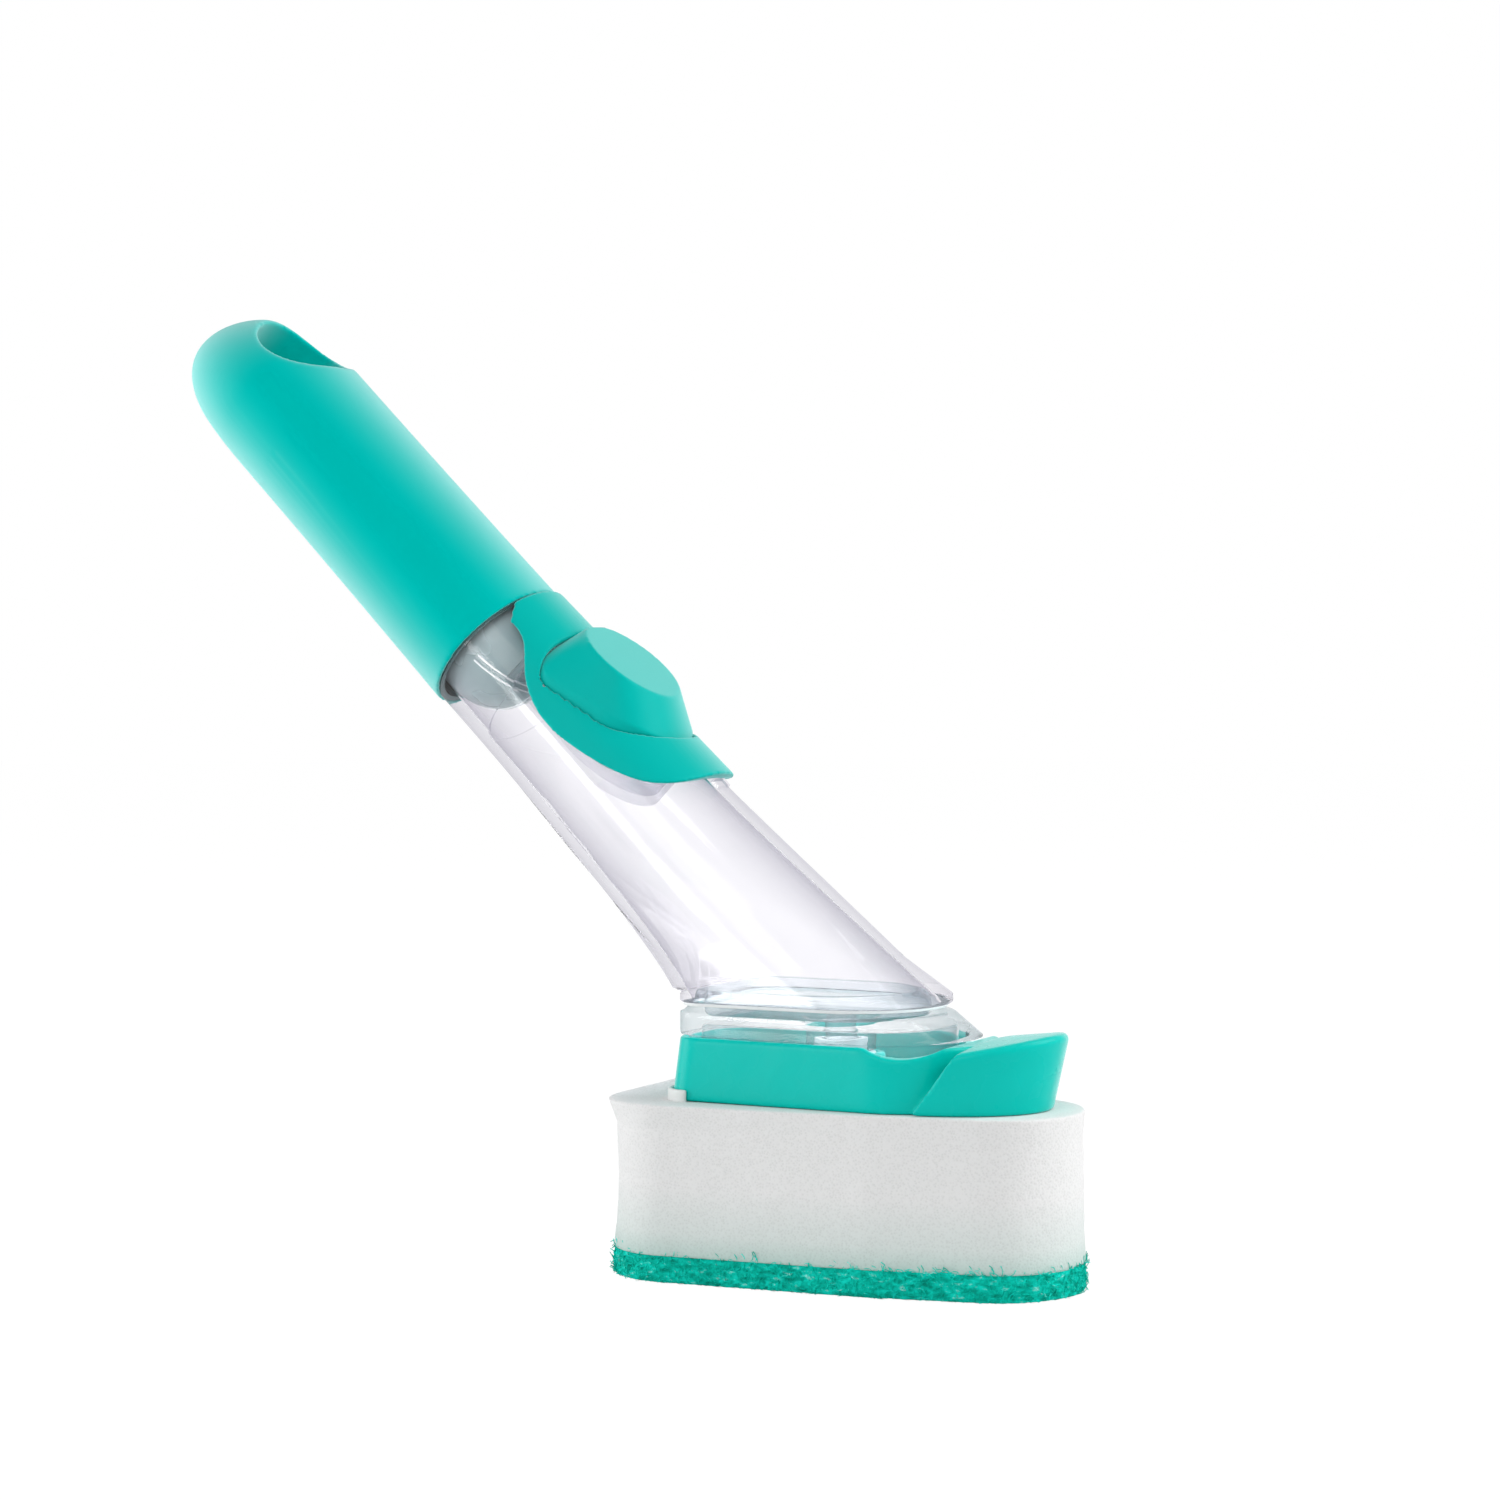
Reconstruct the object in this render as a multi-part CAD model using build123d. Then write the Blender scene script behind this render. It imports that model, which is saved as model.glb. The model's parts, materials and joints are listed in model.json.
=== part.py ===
"""A soap-dispensing dish wand: clear slanting tank, handle, pump button and sponge head.

Millimetres, +Z up. The origin is the middle of the scourer's underside, +X points to the
thumb nose and the handle leans back over -X.
"""

import os
from math import asin, cos, degrees, pi, radians, sin, sqrt

from build123d import *

os.makedirs("parts", exist_ok=True)

# ------------------------------------------------------------------ driving sizes
# the wand's axis
WAND_LEAN = 45.5            # tilt of the wand's axis back from the vertical, degrees
AXIS_AT_FOOT = -11.0        # x where the axis crosses the tank's foot
TANK_LENGTH = 100.4         # from the foot up the axis to the handle's rim

# sponge
SPONGE_BACK = 45.0          # waist of the foam: how far it reaches behind the origin
SPONGE_FRONT = 47.6         # and in front
SPONGE_BACK_HALF = 26.0     # half width across the back corners
SPONGE_MID_HALF = 22.2      # half width at the bulge of its sides
SPONGE_MID_X = 9.0          # where that bulge is
SPONGE_BACK_CORNER = 13.5   # radius of the back corners
SPONGE_NOSE = 17.6          # radius of the round front
SCOURER_THICKNESS = 5.5
FOAM_THICKNESS = 29.5
FOAM_FLARE_TOP = 1.9        # how far the cut edge flares at the top of the back
FOAM_FLARE_FOOT = 0.9       # and where the foam meets the scourer

# sponge head
PLATE_THICKNESS = 1.4       # plate that the foam is bonded to
PLATE_LIP = 0.8             # its lip behind the carrier
PLATE_LIP_HEIGHT = 2.4
CARRIER_BACK = -33.0        # outside of the carrier at its foot
CARRIER_HALF = 19.5
CARRIER_CORNER = 5.5
CARRIER_FRONT = 30.0        # front of the cup under the nose
CARRIER_HEIGHT = 12.7
CARRIER_LEAN = 1.4          # how far the back wall leans in by its top
CARRIER_WALL = 1.8
CARRIER_FLOOR = 2.0
NOSE_CENTRE = 12.0          # centre of the nose's oval outline
NOSE_FOOT_REACH = 29.6      # oval's reach along x at the foot
NOSE_FOOT_HALF = 19.4       # and its half width
NOSE_TOP_REACH = 33.0       # the same at its top
NOSE_TOP_HALF = 21.6
NOSE_HEIGHT = 15.4          # height of the nose's tip above the foam
NOSE_START_FOOT = 20.5      # x where the nose leaves the cup at the foot
NOSE_START_TOP = 31.5       # x where its shoulder ends at the top
THUMB_RISE = 6.7            # the thumb rest rises forwards, degrees
THUMB_CROWN = 110.0         # radius of its crown across the nose
THUMB_EDGE = 1.2            # rounding where it meets the nose's wall
DIP_RADIUS = 14.0           # dip in the top of each side wall, behind the nose
DIP_X = 17.5
DIP_DEPTH = 2.1
NOSE_WALL = 2.2
NOSE_POCKET = 8.5           # hollow under the nose, up from the foam
SOCKET_WALL = 1.8
SOCKET_HEIGHT = 7.5
SOAP_HOLE = 4.0             # radius of the way through the head's floor

# tank
TANK_WALL = 2.3
TANK_NECK_RADIUS = 15.8     # outside, just under the handle
TANK_WAIST_RADIUS = 16.4    # outside, half way down
TANK_WAIST_AT = 52.0        # distance from the rim to the waist
TANK_KNEE_TILT = 22.0       # the section where the tube turns into the foot, degrees
TANK_KNEE_BACK = 11.4       # this far behind the axis's foot
TANK_KNEE_HEIGHT = 13.1     # and above the tank's foot
TANK_KNEE_HALF_LENGTH = 19.4
TANK_KNEE_HALF_WIDTH = 18.2
FOOT_BACK = -31.6
FOOT_FRONT = 19.2
FOOT_HALF = 19.3
FOOT_CORNER = 6.0
FLANGE_LIP = 0.4            # how far the flange stands out in front
FLANGE_THICKNESS = 1.9
SPIGOT_RADIUS = 14.2        # the neck inside the handle
SPIGOT_BORE = 13.0
SPIGOT_LENGTH = 13.5
NECK_BORE_DEPTH = 14.0      # the bore goes on below the rim, for the plug's dome

# base cap
GASKET_THICKNESS = 0.6
GROOVE_HEIGHT = 1.1         # neck between the flange and the collar
GROOVE_DEPTH = 1.2
COLLAR_TOP_FRONT = 20.0
COLLAR_FOOT_FRONT = 26.4
COLLAR_HEIGHT = 4.8
CAP_FLOOR = 1.6             # thickness of the cap's floor
CAP_FLOOR_AT = 2.0          # height of its underside above the collar's foot
CAP_RIM = 1.8               # wall of the rim that plugs into the tank
PLUG_IN_HEIGHT = 2.4        # how far the cap plugs up into the tank
PLUG_IN_LEAN = 1.3          # how far its front leans back for each millimetre up
PLUG_IN_DRAFT = 0.4         # how far it is drawn in by its top
SKIRT_WALL = 1.8
SKIRT_DEPTH = 8.0
SKIRT_FRONT = 22.0
NOZZLE_X = -3.0
NOZZLE_RADIUS = 7.0
NOZZLE_BORE = 5.2
NOZZLE_LENGTH = 11.0
NOZZLE_SHOULDER = 3.0       # the bore stops this far below the cap's floor
OUTLET_RADIUS = 3.0
NOZZLE_SEAL_AT = 5.0        # above the nozzle's end
NOZZLE_SEAL_WIRE = 0.8      # radius of the ring's section
VALVE_FLANGE = 1.0
VALVE_DOME = 3.6
VALVE_SKIN = 0.7
VALVE_SLIT = 0.3
RETAINER_HEIGHT = 2.4
RETAINER_WALL = 1.2
RIB_COUNT = 5               # guide ribs along each side of the skirt
RIB_START = -23.0           # x of the rearmost rib
RIB_PITCH = 6.0
RIB_WIDTH = 1.2

# handle
HANDLE_RIM_RADIUS = 16.4
HANDLE_WAIST_RADIUS = 15.9
HANDLE_WAIST_AT = 76.0      # from the rim to where the tip starts to round
HANDLE_LENGTH = 99.0
TIP_DROOP = 4.2             # the tip's apex sits this far below the axis
GRIP_THICKNESS = 1.1
CORE_WALL = 1.0
CORE_LENGTH = 62.0
PARTITION_THICKNESS = 2.0
HANG_HOLE_AT = 80.2         # from the rim
HANG_HOLE_LENGTH = 19.6     # throat, along the handle
HANG_HOLE_WIDTH = 22.0      # and across
HANG_HOLE_FLARE = 1.4       # the mouth is wider than the throat by this much all round

# plug
PLUG_WALL = 1.8
PLUG_SKIRT_BORE = 9.2
PLUG_BOSS_RADIUS = 5.5
PLUG_BOSS_LENGTH = 4.0
PLUG_RIB = 1.4
SEAL_WIRE = 1.1             # radius of the seal ring's section
SEAL_AT = 7.0               # above the rim

# pump
BUTTON_AT = 28.9            # from the rim to the button's axis
BUTTON_CORNER = 6.0         # its plan is the hull of two upper corners and a round belly
BUTTON_CORNER_AT = 19.6     # from the rim to the corners' centres
BUTTON_CORNER_SIDE = 9.1    # and from the middle out to them
BUTTON_BELLY = 13.9
BUTTON_BELLY_AT = 31.0
BUTTON_TRAVEL = 3.0
BUTTON_SKIRT_DROP = 1.8     # room left under the skirt when the button is down
BUTTON_WALL = 1.6
FACET_RADIUS = 11.6
FACET_AT = 24.8             # from the rim to the facet's middle
FACET_SQUARE = 1.5          # how far the facet's upper corners part
FACET_HEIGHT = 20.6         # above the wand's axis, at the facet's middle
FACET_TILT = 5.5            # rises towards the tank's foot, degrees
SLOPE_FOOT_AT = 59.0        # from the rim to where the long slope would end, at the skirt's foot
SLOPE_SIDE = 1.6            # how far the sides lean out beyond the plan by the skirt's foot
BUTTON_BOSS_WALL = 1.8
SPRING_SEAT = 14.5          # height of the spring's upper seat above the wand's axis
LUG_LENGTH = 2.0            # catch on the tank that holds the bezel's tip
LUG_WIDTH = 5.0
LUG_HEIGHT = 1.1
TAB_LENGTH = 1.3
TAB_ROOT = 2.6              # with the part that is sunk in the skirt
TAB_WIDTH = 8.0
TAB_THICKNESS = 1.4
BEZEL_UPPER_RADIUS = 17.0
BEZEL_LOWER_RADIUS = 19.0
BEZEL_TOP = 1.2             # from the rim to the bezel's upper edge
BEZEL_TIP = 55.4            # and to its lower tip
BEZEL_CORNER = 13.7         # height of its side edge above the axis at the upper end
BEZEL_POINT = 18.5          # and at the lower tip
BEZEL_EDGE = [              # the edge between: (height above the axis, distance from the rim)
    (11.2, 4.2),
    (10.5, 9.5),
    (7.2, 15.0),
    (4.3, 26.0),
    (5.7, 35.0),
    (8.5, 44.0),
    (12.3, 51.0),
]
BEZEL_OVER = 5.0            # the cutting shapes reach this far past it
WELL_FLOOR = 3.4            # top of the pump seat above the axis
WELL_PLATE = 1.6
WELL_MARGIN = 1.9           # the well is this much wider than the button all round
WELL_WALL = 1.4
PORT_RADIUS = 7.4
DIAPHRAGM_THICKNESS = 0.8
DIAPHRAGM_REST = 2.2        # height left under it when the button is down
RING_THICKNESS = 1.5
PLUNGER_RADIUS = 5.0
PLUNGER_DISC = 1.2
PLUNGER_STEM = 3.0
SPRING_RADIUS = 9.6
SPRING_WIRE = 0.9           # wire diameter
SPRING_TURNS = 4
SPRING_STEPS = 20           # straight steps to a turn
SPRING_LEAST_GAP = 0.4      # what must be left between its turns

# clearances
SLIDE_GAP = 0.08            # running fits
PART_GAP = 0.3              # between pieces that move past each other
BUTTON_GAP = 0.25           # round the button
SEAT = 0.05                 # pieces that are pushed or glued together
SEAM = 0.02                 # step between two curved walls that would else only just touch

# ------------------------------------------------------------------ derived places
LEAN = radians(WAND_LEAN)
FOAM_TOP = SCOURER_THICKNESS + FOAM_THICKNESS
CARRIER_TOP = FOAM_TOP + CARRIER_HEIGHT
COLLAR_FOOT = CARRIER_TOP + PART_GAP
COLLAR_TOP = COLLAR_FOOT + COLLAR_HEIGHT
CAP_SHOULDER = COLLAR_TOP + GROOVE_HEIGHT
FOOT_HEIGHT = CAP_SHOULDER + GASKET_THICKNESS
RIM_X = AXIS_AT_FOOT - TANK_LENGTH * sin(LEAN)
RIM_Z = FOOT_HEIGHT + TANK_LENGTH * cos(LEAN)
WAND = Plane(
    origin=(RIM_X, 0, RIM_Z), x_dir=(cos(LEAN), 0, sin(LEAN)), z_dir=(-sin(LEAN), 0, cos(LEAN))
)
CAP_FLOOR_LOW = COLLAR_FOOT + CAP_FLOOR_AT
CAP_FLOOR_TOP = CAP_FLOOR_LOW + CAP_FLOOR
NOZZLE_END = CAP_FLOOR_LOW - NOZZLE_LENGTH
VALVE_TOP = CAP_FLOOR_LOW - NOZZLE_SHOULDER
NOZZLE_SOCKET = NOZZLE_RADIUS + SLIDE_GAP
NOZZLE_SEAL_Z = NOZZLE_END + NOZZLE_SEAL_AT
NOZZLE_SEAL_MIDDLE = NOZZLE_SOCKET - SEAT - NOZZLE_SEAL_WIRE
NOZZLE_SEAL_BED = NOZZLE_SEAL_MIDDLE - NOZZLE_SEAL_WIRE
SOCKET_TOP = FOAM_TOP + CARRIER_FLOOR + SOCKET_HEIGHT
CORE_RADIUS = SPIGOT_RADIUS + SLIDE_GAP + CORE_WALL
PARTITION_LOW = SPIGOT_LENGTH + PART_GAP
PLUG_RADIUS = SPIGOT_BORE - SLIDE_GAP
SEAL_MIDDLE = SPIGOT_BORE - SEAT - SEAL_WIRE
SEAL_BED = SEAL_MIDDLE - SEAL_WIRE - SLIDE_GAP
BUTTON_SKIRT_FOOT = WELL_FLOOR + BUTTON_TRAVEL + BUTTON_SKIRT_DROP
DIAPHRAGM_FLANGE = BUTTON_BELLY - BUTTON_WALL - PART_GAP
PLUNGER_LOW = WELL_FLOOR + DIAPHRAGM_THICKNESS + BUTTON_TRAVEL + DIAPHRAGM_REST
PLUNGER_TOP = FACET_HEIGHT - BUTTON_WALL - 1.0
TAB_TOP = sqrt((TANK_NECK_RADIUS + SEAT) ** 2 - (TAB_WIDTH / 2) ** 2) - SLIDE_GAP
SPONGE_CORNER_RADIUS_X = SPONGE_BACK_CORNER - SPONGE_BACK


def placed(part):
    """Moves a piece from the wand's own frame (x to the button, z to the tip) into the row frame."""
    return WAND.location * part


def pump_frame(radius, low, high):
    """A cylinder on the button's axis, between two heights above the wand's axis."""
    plane = Plane(origin=(low, 0, -BUTTON_AT), x_dir=(0, 0, -1), z_dir=(1, 0, 0))
    return plane * Cylinder(radius, high - low, align=(Align.CENTER, Align.CENTER, Align.MIN))


def button_outline(grow, belly_at=BUTTON_BELLY_AT):
    """The button's plan about its axis, x towards the tank's foot, grown all round."""
    corner = Circle(BUTTON_CORNER + grow)
    corner_x = BUTTON_CORNER_AT - BUTTON_AT
    discs = [
        Pos(corner_x, -BUTTON_CORNER_SIDE) * corner,
        Pos(corner_x, BUTTON_CORNER_SIDE) * corner,
        Pos(belly_at - BUTTON_AT, 0) * Circle(BUTTON_BELLY + grow),
    ]
    return make_hull([disc.edges()[0] for disc in discs])


def button_prism(grow, low, high):
    """The button's plan, pushed along its axis between two heights above the wand's axis."""
    plane = Plane(origin=(low, 0, -BUTTON_AT), x_dir=(0, 0, -1), z_dir=(1, 0, 0))
    return plane * extrude(button_outline(grow), high - low, dir=(0, 0, 1))


def turned_ring(middle, wire, height):
    """A ring of eight-sided section about the wand's axis."""
    corners = [radians(22.5 + 45 * count) for count in range(8)]
    return revolved([(middle + wire * cos(turn), height + wire * sin(turn)) for turn in corners])


def revolved(profile):
    """Turns a closed profile, drawn as (radius, height) points, about the wand's axis."""
    face = make_face(Polyline(*[(r, 0, z) for r, z in profile], close=True))
    return revolve(face, Axis.Z)


def d_outline(back, front, half, back_radius, front_radius):
    """A flat outline with its own radius on the back and on the front corners."""
    face = make_face(Polyline((back, -half), (front, -half), (front, half), (back, half), close=True))
    face = fillet(face.vertices().group_by(Axis.X)[0], back_radius)
    return fillet(face.vertices().group_by(Axis.X)[-1], front_radius)


def tank_outline(back, front, half, corner):
    """Straight back, rounded corners, straight sides and a half-round front: six edges."""
    turn = corner * (1 - sqrt(0.5))
    middle = front - half
    return make_face(
        [
            Line((back + corner, -half), (middle, -half)),
            ThreePointArc((middle, -half), (front, 0), (middle, half)),
            Line((middle, half), (back + corner, half)),
            ThreePointArc((back + corner, half), (back + turn, half - turn), (back, half - corner)),
            Line((back, half - corner), (back, corner - half)),
            ThreePointArc((back, corner - half), (back + turn, turn - half), (back + corner, -half)),
        ]
    )


def round_outline(radius):
    """A circle cut into six arcs that face the six edges of the tank's other sections."""
    def at(angle):
        return (radius * cos(radians(angle)), radius * sin(radians(angle)))

    cuts = (-135, -80, 80, 135, 155, 205, 225)
    return make_face(
        [ThreePointArc(at(low), at((low + high) / 2), at(high)) for low, high in zip(cuts, cuts[1:])]
    )


def foot_outline(inset, front=FOOT_FRONT):
    """The tank's foot, drawn in by inset all round."""
    return tank_outline(FOOT_BACK + inset, front - inset, FOOT_HALF - inset, FOOT_CORNER - inset * 0.5)


def slab(outline, low, high):
    return extrude(Pos(0, 0, low) * outline, high - low, dir=(0, 0, 1))


# ------------------------------------------------------------------ tank
def wand_section(distance, radius):
    """A round section square to the axis, at a distance down from the rim."""
    return placed(Pos(0, 0, -distance) * round_outline(radius))


def knee_section(inset):
    tilt = radians(TANK_KNEE_TILT)
    plane = Plane(
        origin=(AXIS_AT_FOOT - TANK_KNEE_BACK, 0, FOOT_HEIGHT + TANK_KNEE_HEIGHT),
        x_dir=(cos(tilt), 0, sin(tilt)),
        z_dir=(-sin(tilt), 0, cos(tilt)),
    )
    half_length = TANK_KNEE_HALF_LENGTH - inset
    half = TANK_KNEE_HALF_WIDTH - inset
    return plane * tank_outline(-half_length, half_length, half, half * 0.8)


def tank_body(inset, top):
    """The slanting tube that turns into the D-shaped foot, drawn in by inset."""
    return loft(
        [
            wand_section(top, TANK_NECK_RADIUS - inset),
            wand_section(TANK_WAIST_AT / 2, TANK_NECK_RADIUS - inset),
            wand_section(TANK_WAIST_AT, TANK_WAIST_RADIUS - inset),
            knee_section(inset),
            Pos(0, 0, FOOT_HEIGHT) * foot_outline(inset),
        ]
    )


def make_reservoir():
    outer = tank_body(0, 0)
    flange = slab(foot_outline(0, FOOT_FRONT + FLANGE_LIP), FOOT_HEIGHT, FOOT_HEIGHT + FLANGE_THICKNESS)
    cavity = tank_body(TANK_WALL, NECK_BORE_DEPTH)
    spigot = placed(Cylinder(SPIGOT_RADIUS, SPIGOT_LENGTH, align=(Align.CENTER, Align.CENTER, Align.MIN)))
    bore_length = SPIGOT_LENGTH + NECK_BORE_DEPTH + 1
    bore = placed(
        Pos(0, 0, -NECK_BORE_DEPTH - 0.5)
        * Cylinder(SPIGOT_BORE, bore_length, align=(Align.CENTER, Align.CENTER, Align.MIN))
    )
    plate_low = WELL_FLOOR - WELL_PLATE
    high = HANDLE_RIM_RADIUS + 10
    well = outer & placed(button_prism(WELL_MARGIN + WELL_WALL, plate_low, high))
    well_void = placed(button_prism(WELL_MARGIN, WELL_FLOOR, high))
    port = placed(pump_frame(PORT_RADIUS, plate_low - 1, high))
    lug = Pos(TANK_WAIST_RADIUS + LUG_HEIGHT / 2, 0, -BEZEL_TIP - PART_GAP - LUG_LENGTH / 2) * Box(
        LUG_HEIGHT + 1, LUG_WIDTH, LUG_LENGTH
    )
    return (outer + placed(lug) + flange - cavity + well + spigot) - well_void - port - bore


# ------------------------------------------------------------------ base cap and outlet
def skirt_outline(inset):
    """The part of the cap that plugs into the head, drawn in by inset."""
    half = CARRIER_HALF - CARRIER_WALL - PART_GAP - inset
    back = CARRIER_BACK + CARRIER_LEAN + CARRIER_WALL + PART_GAP + inset
    return d_outline(back, SKIRT_FRONT - inset, half, CARRIER_CORNER - CARRIER_WALL, half * 0.9)


def on_nozzle(part):
    """Moves a turned piece from the origin to the nozzle's axis."""
    return Pos(NOZZLE_X, 0, 0) * part


def guide_ribs():
    """Small upright ribs that steady the skirt in the head's wall."""
    proud = PART_GAP - SLIDE_GAP
    side = CARRIER_HALF - CARRIER_WALL - PART_GAP
    ribs = Part()
    for place in (-1, 1):
        for count in range(RIB_COUNT):
            x = RIB_START + RIB_PITCH * count
            rib = Box(RIB_WIDTH, 2, SKIRT_DEPTH, align=(Align.CENTER, Align.CENTER, Align.MAX))
            ribs += Pos(x, place * (side + proud - 1), COLLAR_FOOT) * rib
    return ribs


def plug_in(inset):
    """The cap's rim inside the tank, leant back and drawn in as the tank's own walls are."""
    drawn = TANK_WALL + SEAT + inset
    top = foot_outline(drawn + PLUG_IN_DRAFT, FOOT_FRONT - PLUG_IN_LEAN * PLUG_IN_HEIGHT)
    return loft(
        [Pos(0, 0, FOOT_HEIGHT) * foot_outline(drawn), Pos(0, 0, FOOT_HEIGHT + PLUG_IN_HEIGHT) * top], ruled=True
    )


def make_base_cap():
    plug = slab(foot_outline(TANK_WALL + SEAT), CAP_SHOULDER, FOOT_HEIGHT) + plug_in(0)
    neck = slab(foot_outline(GROOVE_DEPTH), COLLAR_TOP, CAP_SHOULDER)
    collar = loft(
        [
            Pos(0, 0, COLLAR_FOOT) * foot_outline(0, COLLAR_FOOT_FRONT),
            Pos(0, 0, COLLAR_TOP) * foot_outline(0, COLLAR_TOP_FRONT),
        ],
        ruled=True,
    )
    skirt = slab(skirt_outline(0), COLLAR_FOOT - SKIRT_DEPTH, COLLAR_FOOT)
    sump = slab(foot_outline(TANK_WALL + SEAT + CAP_RIM), CAP_FLOOR_TOP, FOOT_HEIGHT) + plug_in(CAP_RIM)
    hollow = slab(skirt_outline(SKIRT_WALL), COLLAR_FOOT - SKIRT_DEPTH, CAP_FLOOR_LOW)
    nozzle = on_nozzle(
        revolved(
            [
                (0, NOZZLE_END),
                (NOZZLE_RADIUS, NOZZLE_END),
                (NOZZLE_RADIUS, NOZZLE_SEAL_Z - NOZZLE_SEAL_WIRE - SLIDE_GAP),
                (NOZZLE_SEAL_BED, NOZZLE_SEAL_Z - NOZZLE_SEAL_WIRE - SLIDE_GAP),
                (NOZZLE_SEAL_BED, NOZZLE_SEAL_Z + NOZZLE_SEAL_WIRE + SLIDE_GAP),
                (NOZZLE_RADIUS, NOZZLE_SEAL_Z + NOZZLE_SEAL_WIRE + SLIDE_GAP),
                (NOZZLE_RADIUS, CAP_FLOOR_TOP),
                (0, CAP_FLOOR_TOP),
            ]
        )
    )
    bore = on_nozzle(
        revolved(
            [
                (0, NOZZLE_END - 1),
                (NOZZLE_BORE, NOZZLE_END - 1),
                (NOZZLE_BORE, VALVE_TOP),
                (OUTLET_RADIUS, VALVE_TOP),
                (OUTLET_RADIUS, CAP_FLOOR_TOP + 1),
                (0, CAP_FLOOR_TOP + 1),
            ]
        )
    )
    return plug + neck + collar + skirt + guide_ribs() - sump - hollow + nozzle - bore


def make_base_gasket():
    ring = foot_outline(GROOVE_DEPTH * 0.5) - foot_outline(TANK_WALL)
    return slab(ring, CAP_SHOULDER, FOOT_HEIGHT)


def make_outlet_valve():
    """A silicone dome with a cross slit, hung from a flange."""
    flange = NOZZLE_BORE - SEAT
    dome_foot = VALVE_TOP - VALVE_FLANGE - VALVE_DOME * 0.6
    skin = revolved(
        [
            (0, dome_foot),
            (VALVE_DOME * 0.7, dome_foot + 0.4),
            (VALVE_DOME, VALVE_TOP - VALVE_FLANGE),
            (flange, VALVE_TOP - VALVE_FLANGE),
            (flange, VALVE_TOP),
            (VALVE_DOME - VALVE_SKIN, VALVE_TOP),
            (VALVE_DOME * 0.7 - VALVE_SKIN, dome_foot + 0.4 + VALVE_SKIN),
            (0, dome_foot + VALVE_SKIN),
        ]
    )
    slit = Box(VALVE_DOME, VALVE_SLIT, VALVE_DOME)
    cross = slit + Rot(0, 0, 90) * slit
    return on_nozzle(skin - Pos(0, 0, dome_foot) * cross)


def make_valve_retainer():
    high = VALVE_TOP - VALVE_FLANGE
    low = high - RETAINER_HEIGHT
    outside = NOZZLE_BORE - SEAT
    inside = outside - RETAINER_WALL
    return on_nozzle(revolved([(inside, low), (outside, low), (outside, high), (inside, high)]))


def make_nozzle_seal():
    return on_nozzle(turned_ring(NOZZLE_SEAL_MIDDLE, NOZZLE_SEAL_WIRE, NOZZLE_SEAL_Z))


# ------------------------------------------------------------------ handle
def grip_outside():
    """A slim barrel that ends in an egg whose apex droops below the axis."""
    egg_length = HANDLE_LENGTH - HANDLE_WAIST_AT
    waist = HANDLE_WAIST_RADIUS - SEAM
    barrel = Cone(HANDLE_RIM_RADIUS, waist, HANDLE_WAIST_AT, align=(Align.CENTER, Align.CENTER, Align.MIN))
    half_oval = make_face(Ellipse(HANDLE_WAIST_RADIUS, egg_length).edge()) & Pos(egg_length, 0) * Rectangle(
        2 * egg_length, 2 * egg_length
    )
    egg = revolve(Rot(90, 0, 0) * half_oval, Axis.Z)
    lean = degrees(asin(TIP_DROOP / egg_length))
    egg = Pos(0, 0, HANDLE_WAIST_AT) * Rot(0, -lean, 0) * egg
    above = Pos(0, 0, HANDLE_WAIST_AT) * Box(*[2 * HANDLE_LENGTH] * 3, align=(Align.CENTER, Align.CENTER, Align.MIN))
    return barrel + (egg & above)


def hang_hole():
    """A round eye through the handle, along the button's direction, with flared mouths."""
    sections = []
    for share in (-1.1, -0.8, 0, 0.8, 1.1):
        flare = HANG_HOLE_FLARE * share**2
        plane = Plane(
            origin=(share * HANDLE_WAIST_RADIUS, 0, HANG_HOLE_AT), x_dir=(0, 0, 1), z_dir=(1, 0, 0)
        )
        sections.append(plane * Ellipse(HANG_HOLE_LENGTH / 2 + flare, HANG_HOLE_WIDTH / 2 + flare))
    return loft(sections)


def make_handle_grip():
    core = Cylinder(CORE_RADIUS, CORE_LENGTH, align=(Align.CENTER, Align.CENTER, Align.MIN))
    return placed(grip_outside() - core - hang_hole())


def make_handle_core():
    """The rigid sleeve under the grip: a socket for the neck, a partition and a closed end."""
    bore = CORE_RADIUS - CORE_WALL
    hole = PLUG_BOSS_RADIUS + SEAT
    high = PARTITION_LOW + PARTITION_THICKNESS
    return placed(
        revolved(
            [
                (bore, 0),
                (CORE_RADIUS, 0),
                (CORE_RADIUS, CORE_LENGTH),
                (0, CORE_LENGTH),
                (0, CORE_LENGTH - CORE_WALL),
                (bore, CORE_LENGTH - CORE_WALL),
                (bore, high),
                (hole, high),
                (hole, PARTITION_LOW),
                (bore, PARTITION_LOW),
            ]
        )
    )


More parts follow.
